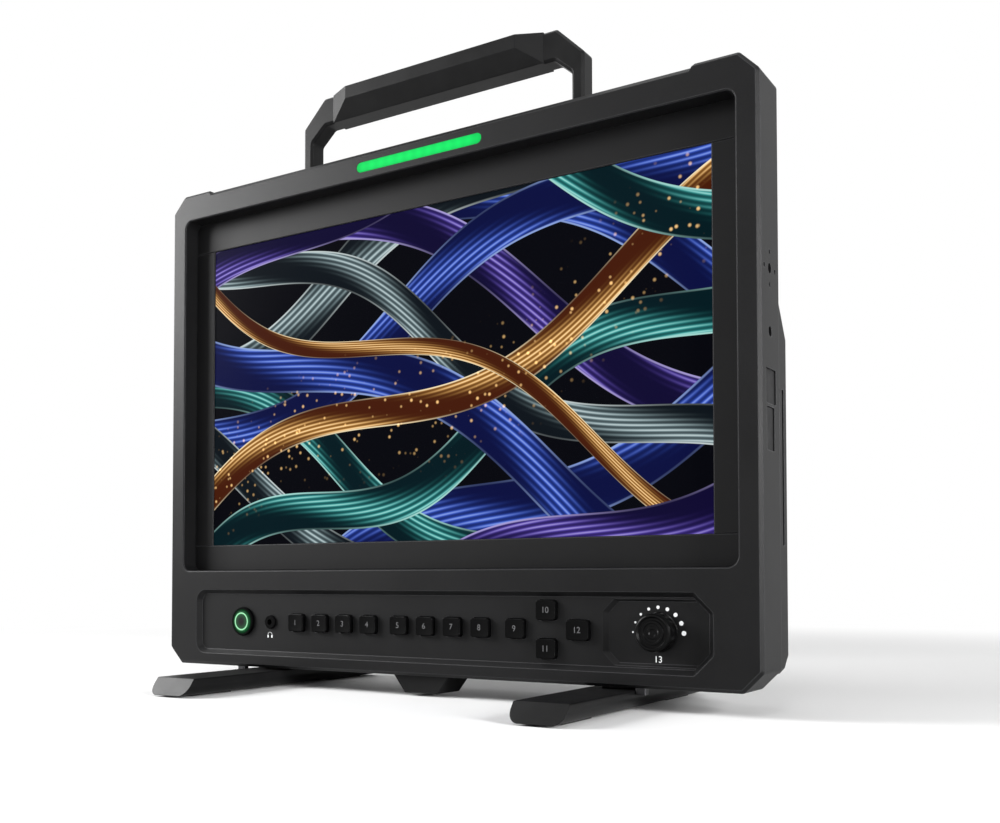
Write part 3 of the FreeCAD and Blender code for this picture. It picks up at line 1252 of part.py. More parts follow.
def all_pieces():
    """Every piece of the monitor under its own name."""
    pieces = {"front_frame": front_frame(), "side_port_covers": port_covers()}
    pieces.update(trims())
    pieces["screen_glass"] = screen_glass()
    pieces["lcd_panel"] = lcd_panel()
    pieces["backlight_tray"] = backlight_tray()
    pieces["panel_bracket"] = panel_bracket()
    pieces["inner_screws"] = inner_screws()
    pieces["tally_lens"] = tally_lens()
    pieces["tally_board"] = tally_board()
    for number, (x, z, width) in enumerate(key_places(), 1):
        pieces[f"key_{number}"] = key(x, z, width)
    pieces["key_mat"] = key_mat()
    pieces["key_board"] = key_board()
    pieces["power_button_body"] = power_button_body()
    pieces["power_button_cap"] = power_button_cap()
    pieces["power_light_ring"] = power_light_groove(0)
    pieces["power_button_nut"] = power_button_nut()
    pieces["headphone_jack"] = headphone_jack()
    pieces["headphone_nut"] = headphone_nut()
    pieces["menu_knob"] = menu_knob()
    pieces["encoder_shaft"] = encoder_shaft()
    pieces["encoder_plunger"] = encoder_plunger()
    pieces["encoder_body"] = encoder_body()
    pieces["encoder_nut"] = encoder_nut()
    pieces["rear_cover"] = rear_cover()
    pieces["cover_screws"] = cover_screws()
    pieces["main_board"] = main_board()
    pieces["board_standoffs"] = board_standoffs()
    pieces["heatsink"] = heatsink()
    pieces["io_board"] = io_board()
    pieces["coax_sockets"] = group([coax_socket(x) for x in coax_xs()])
    pieces["video_sockets"] = group([video_socket(x) for x in VIDEO_XS])
    pieces["dc_inlet"] = dc_inlet()
    pieces["dc_inlet_pins"] = dc_inlet_pins()
    pieces["handle"] = handle()
    pieces["handle_screws"] = handle_screws()
    for side, name in ((-1, "left"), (1, "right")):
        pieces[f"{name}_foot"] = foot(side * FOOT_X)
        pieces[f"{name}_foot_pads"] = group(foot_pad_solids(side * FOOT_X, 0))
    pieces["foot_pivot_screws"] = group([foot_pivot_screw(x) for x in (-FOOT_X, FOOT_X)])
    pieces["foot_washers"] = group([foot_washer(x) for x in (-FOOT_X, FOOT_X)])
    pieces["foot_stops"] = group([foot_stop(side) for side in (-1, 1)])
    pieces["bottom_mount"] = bottom_mount()
    pieces["bottom_mount_screws"] = bottom_mount_screws()
    return pieces


os.makedirs("parts", exist_ok=True)
for piece_name, piece_shape in all_pieces().items():
    piece_shape.exportStep(f"parts/{piece_name}.step")
    print(piece_name, len(piece_shape.Solids), round(piece_shape.Volume, 1), piece_shape.isValid())
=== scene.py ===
"""Dresses the production monitor: paints it, adds its printed marks, knob and screws, and lights it."""
import math

import bmesh
import bpy
from bpy.props import FloatProperty, FloatVectorProperty, IntProperty, PointerProperty
from mathutils import Matrix, Vector


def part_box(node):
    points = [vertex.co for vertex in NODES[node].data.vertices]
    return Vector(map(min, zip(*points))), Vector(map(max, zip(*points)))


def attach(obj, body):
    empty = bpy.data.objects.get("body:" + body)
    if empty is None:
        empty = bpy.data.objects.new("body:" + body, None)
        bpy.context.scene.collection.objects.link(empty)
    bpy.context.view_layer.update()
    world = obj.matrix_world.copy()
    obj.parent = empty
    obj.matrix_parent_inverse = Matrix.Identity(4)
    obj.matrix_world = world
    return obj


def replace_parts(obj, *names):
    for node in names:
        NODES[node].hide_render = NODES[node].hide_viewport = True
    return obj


bl_info = {
    "name": "Production Monitor Dressing",
    "version": (1, 0, 0),
    "blender": (4, 5, 0),
    "location": "View3D > Sidebar > Monitor",
    "description": "Finishes, printed marks, knob, screws and studio for a field production monitor",
    "category": "Object",
}

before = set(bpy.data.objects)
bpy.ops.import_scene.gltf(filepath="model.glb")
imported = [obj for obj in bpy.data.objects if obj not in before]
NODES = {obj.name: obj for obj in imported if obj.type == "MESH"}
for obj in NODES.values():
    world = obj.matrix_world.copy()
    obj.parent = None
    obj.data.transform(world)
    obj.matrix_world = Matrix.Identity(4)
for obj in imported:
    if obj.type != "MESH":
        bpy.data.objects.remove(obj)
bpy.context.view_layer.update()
KEY_COUNT = 12
MM = 0.001
# Radius of the painted edges
PAINT_EDGE = 0.6 * MM
# Points nearer than this are merged, in new pieces and in copies of CAD nodes
NEW_MERGE = 1e-7
CAD_MERGE = 1e-6
# Height of a printed figure as a share of the font's size
FIGURE_SHARE = 0.7


def middle(node):
    """Centre of a node's box."""
    low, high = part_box(node)
    return (low + high) / 2


# Sizes and colours that a user would change
def colour_property(name, description, default):
    """Linear colour with a swatch."""
    return FloatVectorProperty(name=name, description=description, subtype="COLOR", size=3, min=0.0,
                               max=1.0, default=default)


def length_property(name, description, default):
    """Length in metres."""
    return FloatProperty(name=name, description=description, default=default, unit="LENGTH", precision=5)


class MonitorColours(bpy.types.PropertyGroup):
    """Colours of the finishes."""

    casing: colour_property("Casing", "Textured paint of the frame and the cover", (0.0060, 0.0060, 0.0063))
    handle: colour_property("Handle", "Satin paint of the handle and the feet", (0.0042, 0.0042, 0.0044))
    trim: colour_property("Trim", "Strips round the screen", (0.0045, 0.0045, 0.0048))
    key: colour_property("Key", "Key caps", (0.0014, 0.0014, 0.0015))
    fittings: colour_property("Fittings", "Knob and headphone socket", (0.0015, 0.0015, 0.0016))
    print_white: colour_property("Print", "Printed marks", (0.78, 0.79, 0.80))
    key_print: colour_property("Key print", "Numbers on the keys", (0.09, 0.09, 0.094))
    tally: colour_property("Tally", "Light bar above the screen", (0.009, 0.84, 0.145))
    power: colour_property("Power", "Light ring of the power button", (0.28, 0.74, 0.38))
    # The power glow is light painted onto the cap and body as emission.
    power_glow: colour_property("Power glow", "Glow of the light ring on the cap", (0.004, 0.085, 0.022))
    nickel: colour_property("Nickel", "Plated sockets and nuts", (0.56, 0.54, 0.50))


class MonitorMarks(bpy.types.PropertyGroup):
    """Sizes of the printed marks."""

    print_thick: length_property("Print thickness", "How far the print stands proud", 0.03 * MM)
    number_height: length_property("Number height", "Height of the printed numbers", 3.2 * MM)
    dot_ring: length_property("Dot ring", "Radius of the ring of dots round the knob", 13.7 * MM)
    first_dot: length_property("First dot", "Radius of the smallest dot", 0.48 * MM)
    last_dot: length_property("Last dot", "Radius of the largest dot", 1.22 * MM)
    dot_drop: length_property("Dot drop", "How far the ring of dots lies below the knob's axis", 1.4 * MM)
    dot_shift: length_property("Dot shift", "How far the dots lie to the left of the knob's axis", 0.9 * MM)
    dot_lift: FloatProperty(name="Dot lift", description="Angle of the end dots above the level",
                            subtype="ANGLE", default=math.radians(4.5))
    sign_drop: length_property("Sign drop", "How far the headphone sign lies below its socket", 8.0 * MM)
    sign_shift: length_property("Sign shift", "How far the sign lies to the left of its socket", 0.9 * MM)
    socket_rise: length_property("Socket rise", "How far a number lies above its socket", 11.5 * MM)
    number_drop: length_property("Number drop", "How far the knob's number lies below its axis", 13.7 * MM)
    dots: IntProperty(name="Dots", description="Dots in the half ring round the knob", default=9, min=2)


class MonitorKnob(bpy.types.PropertyGroup):
    """Sizes of the knob's surface and of the pad round it."""

    teeth: IntProperty(name="Teeth", description="Teeth of the knurl", default=72, min=12)
    tooth_depth: length_property("Tooth depth", "Depth of the knurl", 0.32 * MM)
    taper: length_property("Taper", "How much narrower the knob is at its face", 0.7 * MM)
    pad_sink: length_property("Pad sink", "How far the pad round the knob is sunk", 2.8 * MM)


class MonitorStudio(bpy.types.PropertyGroup):
    """Camera and lamps."""

    camera_place: FloatVectorProperty(name="Camera place", description="Where the camera stands",
                                      subtype="XYZ", unit="LENGTH",
                                      default=(0.366544, -0.514189, 0.066367))
    camera_turn: FloatVectorProperty(name="Camera turn", description="Yaw, pitch and roll of the camera",
                                     subtype="EULER", default=(0.55537, 0.03085, -0.00131))
    lens: FloatProperty(name="Lens", description="Focal length in millimetres", default=39.58)
    shift: FloatProperty(name="Shift", description="Upward shift of the view", default=0.13326)
    key_power: FloatProperty(name="Key", description="Large lamp on the left", default=25.0, unit="POWER")
    top_power: FloatProperty(name="Top", description="Soft lamp above", default=3.5, unit="POWER")
    edge_power: FloatProperty(name="Edge", description="Tall lamp on the right", default=21.0, unit="POWER")
    front_power: FloatProperty(name="Front", description="Small lamp in front", default=3.0, unit="POWER")
    world: FloatProperty(name="World", description="Strength of the light from all round", default=0.16)


# Shader expressions
class Amount:
    """Number socket of a finish, for use in plain expressions."""

    def __init__(self, finish, socket):
        self.finish = finish
        self.socket = socket

    def math(self, operation, *values):
        """Result of a Math node."""
        node = self.finish.node("ShaderNodeMath", {"operation": operation}, dict(enumerate(values)))
        return Amount(self.finish, node.outputs[0])

    def __add__(self, other):
        return self.math("ADD", self, other)

    def __radd__(self, other):
        return self.math("ADD", other, self)

    def __sub__(self, other):
        return self.math("SUBTRACT", self, other)

    def __rsub__(self, other):
        return self.math("SUBTRACT", other, self)

    def __mul__(self, other):
        return self.math("MULTIPLY", self, other)

    def __rmul__(self, other):
        return self.math("MULTIPLY", other, self)

    def __truediv__(self, other):
        return self.math("DIVIDE", self, other)

    def __pow__(self, other):
        return self.math("POWER", self, other)

    def __abs__(self):
        return self.math("ABSOLUTE", self)

    def sine(self):
        """Sine of the number."""
        return self.math("SINE", self)

    def root(self):
        """Square root of the number."""
        return self.math("SQRT", self)

    def step(self, start, end):
        """Smooth step from 0 at the start to 1 at the end."""
        node = self.finish.node("ShaderNodeMapRange", {"interpolation_type": "SMOOTHSTEP"},
                                {"Value": self, "From Min": start, "From Max": end})
        return Amount(self.finish, node.outputs["Result"])


class Tint:
    """Colour socket of a finish, for use in plain expressions."""

    def __init__(self, finish, socket):
        self.finish = finish
        self.socket = socket

    def __add__(self, other):
        node = self.finish.node("ShaderNodeVectorMath", {"operation": "ADD"}, {0: self, 1: other})
        return Tint(self.finish, node.outputs[0])

    def __mul__(self, amount):
        node = self.finish.node("ShaderNodeVectorMath", {"operation": "SCALE"}, {0: self, "Scale": amount})
        return Tint(self.finish, node.outputs[0])

    def mix(self, other, amount):
        """This colour turning into the other one."""
        node = self.finish.node("ShaderNodeMix", {"data_type": "RGBA"}, {0: amount, 6: self, 7: other})
        return Tint(self.finish, node.outputs[2])


class Finish:
    """One procedural material with a Principled shader."""

    def __init__(self, name, **constants):
        self.material = bpy.data.materials.new(name)
        self.material.use_nodes = True
        self.tree = self.material.node_tree
        self.shader = self.tree.nodes["Principled BSDF"]
        for socket, value in constants.items():
            self.set(socket.replace("_", " "), value)

    def node(self, kind, settings=None, values=None):
        """New node with its settings and the values or links of its sockets."""
        node = self.tree.nodes.new(kind)
        for name, value in (settings or {}).items():
            setattr(node, name, value)
        for key, value in (values or {}).items():
            self.feed(node.inputs[key], value)
        return node

    def feed(self, socket, value):
        """Links a socket or sets its constant."""
        if isinstance(value, (Amount, Tint)):
            self.tree.links.new(value.socket, socket)
        elif isinstance(value, bpy.types.NodeSocket):
            self.tree.links.new(value, socket)
        elif socket.type == "RGBA" and len(value) == 3:
            socket.default_value = (*value, 1.0)
        else:
            socket.default_value = value

    def set(self, socket, value):
        """Feeds one input of the shader."""
        self.feed(self.shader.inputs[socket], value)

    def amount(self, socket):
        """Number socket in an expression."""
        return Amount(self, socket)

    def colour(self, value):
        """Constant colour in an expression."""
        node = self.node("ShaderNodeVectorMath", {"operation": "ADD"}, {0: value})
        return Tint(self, node.outputs[0])

    def place(self):
        """Object coordinates."""
        return self.node("ShaderNodeTexCoord").outputs["Object"]

    def axes(self):
        """Object coordinates as three numbers."""
        parts = self.node("ShaderNodeSeparateXYZ", values={0: self.place()})
        return [Amount(self, socket) for socket in parts.outputs]

    def from_axis(self, centre):
        """Distance from an axis along the depth through a centre."""
        x, _, z = self.axes()
        return ((x - centre.x) ** 2.0 + (z - centre.z) ** 2.0).root()

    def noise(self, size, detail=2.0, rough=0.5, place=None):
        """Noise whose grains have the given size in metres."""
        node = self.node("ShaderNodeTexNoise", values={"Vector": place or self.place(), "Scale": 1.0 / size,
                                                       "Detail": detail, "Roughness": rough})
        return Amount(self, node.outputs[0])

    def stretched(self, scale):
        """Object coordinates stretched by a factor for each axis."""
        return self.node("ShaderNodeMapping", values={"Vector": self.place(), "Scale": scale}).outputs[0]

    def cells(self, size, feature="F1", place=None):
        """Cell pattern whose cells have the given size in metres."""
        return self.node("ShaderNodeTexVoronoi", {"feature": feature},
                         {"Vector": place or self.place(), "Scale": 1.0 / size})

    def rounded(self, edge):
        """Normal of the surface with its edges rounded by a radius in metres."""
        return self.node("ShaderNodeBevel", {"samples": 6}, {"Radius": edge}).outputs[0]

    def rubbed(self, edge):
        """1 on edges rounded by a radius in metres, 0 on flat faces."""
        faint, full = 0.004, 0.08
        flat = self.node("ShaderNodeNewGeometry").outputs["True Normal"]
        facing = self.node("ShaderNodeVectorMath", {"operation": "DOT_PRODUCT"},
                           {0: self.rounded(edge), 1: flat})
        return (1.0 - self.amount(facing.outputs["Value"])).step(faint, full)

    def bump(self, height, depth, edge=0.0):
        """Surface relief from a height between 0 and 1, with edges rounded by a radius in metres."""
        node = self.node("ShaderNodeBump", values={"Height": height, "Distance": depth})
        if edge:
            self.feed(node.inputs["Normal"], self.rounded(edge))
        self.set("Normal", node.outputs[0])


class Sky(Finish):
    """Light from all round, written in the same expressions as a finish."""

    def __init__(self, world):
        world.use_nodes = True
        self.tree = world.node_tree
        self.shader = self.tree.nodes["Background"]


def seen_rays(finish):
    """1 for rays from the camera and for those in reflections and glass, 0 for the light on the object."""
    rays = finish.node("ShaderNodeLightPath").outputs
    seen = finish.amount(rays["Is Camera Ray"]) + rays["Is Glossy Ray"] + rays["Is Transmission Ray"]
    return seen.step(0.0, 1.0)


# Materials
def shades(finish, base, amount, spread):
    """Colour that varies round the base by a share of it."""
    dark = tuple(c * (1 - spread) for c in base)
    light = tuple(c * (1 + spread) for c in base)
    return finish.colour(dark).mix(light, amount)


def textured_paint(name, base, grain=0.4 * MM, depth=0.06 * MM, rough=0.43):
    """Fine textured powder paint with a little dust tone, lighter on its edges as rubbed paint and as a
    painted edge highlight.
    """
    finish = Finish(name, Specular_IOR_Level=0.11)
    # Edges are painted nine times lighter: partly rubbed paint, partly a painted highlight along every
    # rounded edge, hollow ones too.
    times_lighter = 9.0
    worn_and_highlit = tuple(c * times_lighter for c in base)
    fine = finish.noise(grain, 3.0, 0.6)
    broad = finish.noise(45 * MM, 3.0)
    tone = shades(finish, base, (fine * 0.6 + broad * 0.4).step(0.3, 0.7), 0.22)
    finish.set("Base Color", tone.mix(worn_and_highlit, finish.rubbed(PAINT_EDGE)))
    finish.set("Roughness", rough + (broad - 0.5) * 0.10 + (fine - 0.5) * 0.12)
    finish.bump(fine, depth, PAINT_EDGE)
    return finish.material


def satin_paint(name, base):
    """Smoother satin paint for what hands and tables touch."""
    finish = Finish(name, Specular_IOR_Level=0.11)
    fine = finish.noise(0.35 * MM, 2.0)
    rub = finish.noise(18 * MM, 4.0, 0.6)
    finish.set("Base Color", shades(finish, base, rub.step(0.35, 0.7), 0.25))
    finish.set("Roughness", 0.40 + (rub - 0.5) * 0.16 + (fine - 0.5) * 0.06)
    finish.bump(fine, 0.02 * MM, PAINT_EDGE)
    return finish.material


def moulded_plastic(name, base, rough=0.5, shine=0.18):
    """Moulded plastic with a fine spark eroded grain."""
    finish = Finish(name, Specular_IOR_Level=shine)
    fine = finish.noise(0.3 * MM, 2.0)
    broad = finish.noise(12 * MM, 2.0)
    finish.set("Base Color", shades(finish, base, broad, 0.18))
    finish.set("Roughness", rough + (fine - 0.5) * 0.14 + (broad - 0.5) * 0.06)
    finish.bump(fine, 0.015 * MM)
    return finish.material


def dished_key(name, base, centre):
    """Smooth key cap with a shallow dish in its face."""
    finish = Finish(name, Specular_IOR_Level=0.05)
    half_width, half_height, dish, edge = 6.0 * MM, 5.5 * MM, 0.6 * MM, 0.5 * MM
    x, _, z = finish.axes()
    fine = finish.noise(0.25 * MM, 2.0)
    broad = finish.noise(12 * MM, 2.0)
    reach = ((x - centre.x) / half_width) ** 2.0 + ((z - centre.z) / half_height) ** 2.0
    finish.set("Base Color", shades(finish, base, broad, 0.18))
    finish.set("Roughness", 0.34 + (fine - 0.5) * 0.12)
    finish.bump(reach * 0.5 + fine * 0.03, dish, edge)
    return finish.material


def soft_rubber(name, base):
    """Dull rubber with a dusty tone."""
    finish = Finish(name, Specular_IOR_Level=0.25)
    dust = finish.noise(6 * MM, 4.0, 0.65)
    fine = finish.noise(0.4 * MM, 2.0)
    finish.set("Base Color", shades(finish, base, dust.step(0.35, 0.75), 0.4))
    finish.set("Roughness", 0.78 + (dust - 0.5) * 0.12)
    finish.bump(fine, 0.04 * MM)
    return finish.material


def plated_metal(name, base, rough, scale=(1.0, 0.05, 1.0)):
    """Plated or drawn metal with fine lines along the axis of the smallest scale."""
    finish = Finish(name, Metallic=1.0)
    lines = finish.noise(0.2 * MM, 2.0, 0.5, finish.stretched(scale))
    cloud = finish.noise(8 * MM, 3.0)
    finish.set("Base Color", shades(finish, base, cloud, 0.12))
    finish.set("Roughness", rough + (lines - 0.5) * 0.12 + (cloud - 0.5) * 0.08)
    finish.bump(lines, 0.006 * MM)
    return finish.material


def turned_metal(name, base, centre):
    """Black anodised metal with fine rings round an axis along the depth."""
    finish = Finish(name, Specular_IOR_Level=0.09)
    pitch = 0.32 * MM
    rings = (finish.from_axis(centre) * (2 * math.pi / pitch)).sine() * 0.5 + 0.5
    cloud = finish.noise(3 * MM, 2.0)
    finish.set("Base Color", shades(finish, base, rings * 0.5 + cloud * 0.5, 0.25))
    finish.set("Roughness", 0.28 + (rings - 0.5) * 0.10 + (cloud - 0.5) * 0.08)
    finish.bump(rings, 0.008 * MM)
    return finish.material


def circuit_board(name):
    """Green solder mask with pale tracks."""
    finish = Finish(name, Specular_IOR_Level=0.5)
    edge = finish.amount(finish.cells(6 * MM, "DISTANCE_TO_EDGE").outputs["Distance"])
    track = 1.0 - edge.step(0.02, 0.05)
    finish.set("Base Color", finish.colour((0.006, 0.075, 0.03)).mix((0.02, 0.16, 0.07), track))
    finish.set("Roughness", 0.36 + track * 0.1)
    return finish.material


def printed_ink(name, base):
    """Screen printed ink, a little uneven."""
    finish = Finish(name, Specular_IOR_Level=0.3)
    speck = finish.noise(0.2 * MM, 2.0)
    finish.set("Base Color", shades(finish, base, speck, 0.06))
    finish.set("Roughness", 0.55 + (speck - 0.5) * 0.1)
    return finish.material


def tally_light(name, base):
    """Lit bar: even light with the lamps behind just showing, darker at the ends."""
    finish = Finish(name, Roughness=0.5, Specular_IOR_Level=0.02, Emission_Strength=1.0)
    pitch, half_height, half_length = 6.8 * MM, 3.4 * MM, 44.0 * MM
    x, _, z = finish.axes()
    lamps = (x * (2 * math.pi / pitch)).sine() * 0.04 + 0.96
    across = 1.0 - (abs(z - middle("tally_lens").z) / half_height) ** 2.0 * 0.30
    ends = 1.0 - (abs(x) / half_length) ** 10.0 * 0.35
    finish.set("Base Color", tuple(c * 0.05 for c in base))
    finish.set("Emission Color", finish.colour(base) * (lamps * across * ends))
    return finish.material


def lit_ring(name, base):
    """Light ring of the power button."""
    finish = Finish(name, Roughness=0.35, Emission_Strength=1.0)
    patch = finish.noise(4 * MM, 2.0)
    finish.set("Base Color", tuple(c * 0.2 for c in base))
    finish.set("Emission Color", finish.colour(base) * (0.9 + (patch - 0.5) * 0.3))
    return finish.material


def glowing_cap(name, base, glow, centre, ring, reach, shine):
    """Black metal with the ring's glow painted on it as emitted light, up to a reach from the ring."""
    finish = Finish(name, Specular_IOR_Level=shine, Emission_Strength=1.0)
    near = 1.0 - (abs(finish.from_axis(centre) - ring) / reach).step(0.0, 1.0)
    fine = finish.noise(0.2 * MM, 2.0)
    finish.set("Base Color", shades(finish, base, fine, 0.2))
    finish.set("Roughness", 0.42 + (fine - 0.5) * 0.12)
    # Painted glow: the metal itself emits the ring's light, fading with distance from the ring.
    finish.set("Emission Color", finish.colour(glow) * near)
    return finish.material


# Deep, bright and edge colour of each tone
RIBBON_TONES = {
    "blue": ((0.002, 0.004, 0.050), (0.050, 0.130, 0.780), (0.300, 0.420, 0.780)),
    "violet": ((0.004, 0.002, 0.030), (0.130, 0.075, 0.560), (0.420, 0.360, 0.700)),
    "teal": ((0.000, 0.010, 0.014), (0.050, 0.480, 0.460), (0.420, 0.760, 0.700)),
    "slate": ((0.003, 0.006, 0.009), (0.300, 0.430, 0.460), (0.620, 0.700, 0.700)),
    "gold": ((0.060, 0.010, 0.001), (1.000, 0.500, 0.110), (1.000, 0.860, 0.560)),
}
# Angle in degrees, rise, swing, waves, phase, width and tone of each ribbon, in the order of laying
RIBBONS = (
    (-24, 1.02, 0.16, 2.0, 0.3, 0.13, "blue"), (21, 0.84, 0.14, 2.3, 1.1, 0.15, "slate"),
    (-24, 0.58, 0.20, 1.7, 2.2, 0.13, "violet"), (21, -0.92, 0.15, 2.1, 2.9, 0.15, "blue"),
    (-24, -0.74, 0.16, 2.2, 4.0, 0.12, "teal"), (21, 0.38, 0.18, 1.9, 0.2, 0.14, "blue"),
    (-24, -1.12, 0.14, 1.8, 5.1, 0.12, "slate"), (21, -0.46, 0.17, 2.4, 5.6, 0.13, "teal"),
    (-24, 0.20, 0.18, 2.1, 3.2, 0.11, "slate"), (-24, -0.30, 0.22, 1.6, 1.5, 0.15, "blue"),
    (21, 1.30, 0.15, 2.0, 4.4, 0.12, "violet"), (21, -0.06, 0.20, 1.8, 3.9, 0.10, "gold"),
    (-24, 0.00, 0.20, 1.9, 0.9, 0.055, "gold"), (21, -1.30, 0.16, 2.2, 1.8, 0.13, "violet"),
    (-24, 1.40, 0.14, 2.1, 2.6, 0.13, "teal"),
)


def lay_ribbon(finish, picture, u, v, ribbon):
    """Lays one waving ribbon over the picture: lit along its length, finely stranded, with pale edges."""
    angle, rise, swing, waves, phase, width, tone = ribbon
    deep, bright, edge = RIBBON_TONES[tone]
    level, climb = math.cos(math.radians(angle)), math.sin(math.radians(angle))
    along = u * level + v * climb
    across = (v * level - u * climb - (along * waves + phase).sine() * swing - rise) / width
    inside = 1.0 - abs(across).step(0.97, 1.0)
    sweep = (across * 2.0 + along * 3.4 + phase * 3.0).sine() * 0.5 + 0.5
    strands = (across * 24.0 + (along * 3.0 + phase).sine() * 3.5).sine() * 0.5 + 0.5
    glint = strands ** 6.0 * sweep ** 6.0 * 0.7
    body = finish.colour(deep).mix(bright, sweep ** 2.8 * (strands ** 1.5 * 0.8 + 0.2)).mix(edge, glint)
    rim = abs(across).step(0.88, 0.94) * (sweep * 0.8 + 0.1)
    return picture.mix(body.mix(edge, rim), inside)


def screen_picture(name):
    """Dark glass with a lit picture of crossing ribbons, with sparks along one of them.

    The picture is drawn in half heights across (u) and up (v) from its middle.
    """
    finish = Finish(name, Base_Color=(0.0015, 0.0015, 0.002), Specular_IOR_Level=0.004,
                    Emission_Strength=1.0)
    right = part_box("right_trim")[0].x
    low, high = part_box("bottom_trim")[1].z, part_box("top_trim")[0].z
    half = (high - low) / 2
    x, _, z = finish.axes()
    u = x / half
    v = (z - (low + high) / 2) / half
    picture = finish.colour((0.0004, 0.0006, 0.002))
    for ribbon in RIBBONS:
        picture = lay_ribbon(finish, picture, u, v, ribbon)
    spots = finish.cells(5.8 * MM, "F1", finish.stretched((1.0, 0.0, 1.0)))
    sparks = 1.0 - finish.amount(spots.outputs["Distance"]).step(0.05, 0.24)
    wave = (u * 1.9 + 3.9).sine() * 0.2
    path = 1.0 - (abs(v * 0.93 - u * 0.36 - wave + 0.06) / 0.42).step(0.0, 1.0)
    picture = picture + finish.colour((1.0, 0.62, 0.24)) * (sparks * path)
    margin = 0.4 * MM
    shown = (1.0 - abs(x).step(right - margin, right)) * (1.0 - abs(v).step(0.998, 1.0))
    finish.set("Emission Color", picture * shown)
    finish.set("Roughness", 0.18 + finish.noise(30 * MM) * 0.04)
    return finish.material


# Meshes
def paint(material, *names):
    """Gives CAD nodes a finish."""
    for name in names:
        data = NODES[name].data
        if not data.materials:
            data.materials.append(material)
        for slot in NODES[name].material_slots:
            slot.material = material


def finished(name, bm, material, body):
    """Closes a new bmesh, points its faces outwards and turns it into a piece that rides on a body."""
    bmesh.ops.remove_doubles(bm, verts=bm.verts, dist=NEW_MERGE)
    bmesh.ops.recalc_face_normals(bm, faces=bm.faces)
    return as_piece(name, bm, material, body)


def as_piece(name, bm, material, body):
    """Turns a bmesh into a piece that rides on a body."""
    mesh = bpy.data.meshes.new(name)
    bm.to_mesh(mesh)
    bm.free()
    mesh.materials.append(material)
    piece = bpy.data.objects.new(name, mesh)
    bpy.context.scene.collection.objects.link(piece)
    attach(piece, body)
    return piece


def facing_front(x, y, z):
    """Places a flat shape drawn in x and y upright, facing the front."""
    return Matrix.Translation((x, y, z)) @ Matrix.Rotation(math.radians(90), 4, "X")


def facing_back(x, y, z):
    """Places a flat shape drawn in x and y upright, facing the back."""
    return Matrix.Translation((x, y, z)) @ Matrix.Rotation(math.pi, 4, "Z") @ facing_front(0.0, 0.0, 0.0)


def thicken(bm, faces, thick):
    """Gives flat faces a thickness towards the front."""
    grown = bmesh.ops.extrude_face_region(bm, geom=faces)
    verts = [part for part in grown["geom"] if isinstance(part, bmesh.types.BMVert)]
    bmesh.ops.translate(bm, verts=verts, vec=(0.0, -thick, 0.0))


def add_disc(bm, x, y, z, radius, thick):
    """Flat printed disc facing the front."""
    seat = facing_front(x, y, z)
    circle = bmesh.ops.create_circle(bm, cap_ends=True, segments=32, radius=radius, matrix=seat)
    thicken(bm, list({face for vert in circle["verts"] for face in vert.link_faces}), thick)


def add_bar(bm, x, y, z, width, height, thick):
    """Flat printed bar facing the front."""
    seat = facing_front(x, y, z) @ Matrix.Diagonal((width, height, 1.0, 1.0))
    grid = bmesh.ops.create_grid(bm, x_segments=1, y_segments=1, size=0.5, matrix=seat)
    thicken(bm, list({face for vert in grid["verts"] for face in vert.link_faces}), thick)


def number_mesh(text, height, thick, seat):
    """Printed number on a seat that faces the front or the back, as a closed mesh."""
    curve = bpy.data.curves.new("number", "FONT")
    curve.body = text
    curve.size = height / FIGURE_SHARE
    curve.align_x = "CENTER"
    curve.align_y = "CENTER"
    curve.extrude = thick / 2
    holder = bpy.data.objects.new("number", curve)
    bpy.context.scene.collection.objects.link(holder)
    mesh = bpy.data.meshes.new_from_object(holder.evaluated_get(bpy.context.evaluated_depsgraph_get()))
    bpy.data.objects.remove(holder)
    mesh.transform(seat @ Matrix.Translation((0.0, 0.0, thick / 2)))
    bm = bmesh.new()
    bm.from_mesh(mesh)
    bpy.data.meshes.remove(mesh)
    return bm


def lathe(bm, points, centre, steps):
    """Spins (radius, y) points round an axis along the depth."""
    verts = [bm.verts.new((centre.x + radius, y, centre.z)) for radius, y in points]
    edges = [bm.edges.new(pair) for pair in zip(verts, verts[1:])]
    bmesh.ops.spin(bm, geom=verts + edges, cent=(centre.x, 0.0, centre.z), axis=(0.0, 1.0, 0.0),
                   angle=2 * math.pi, steps=steps, use_merge=True)
    bmesh.ops.remove_doubles(bm, verts=bm.verts, dist=NEW_MERGE)


def joined(verts):
    """The given points with all those that edges join to them."""
    whole = set()
    grow = set(verts)
    while grow:
        whole |= grow
        grow = {edge.other_vert(vert) for vert in grow for edge in vert.link_edges} - whole
    return whole


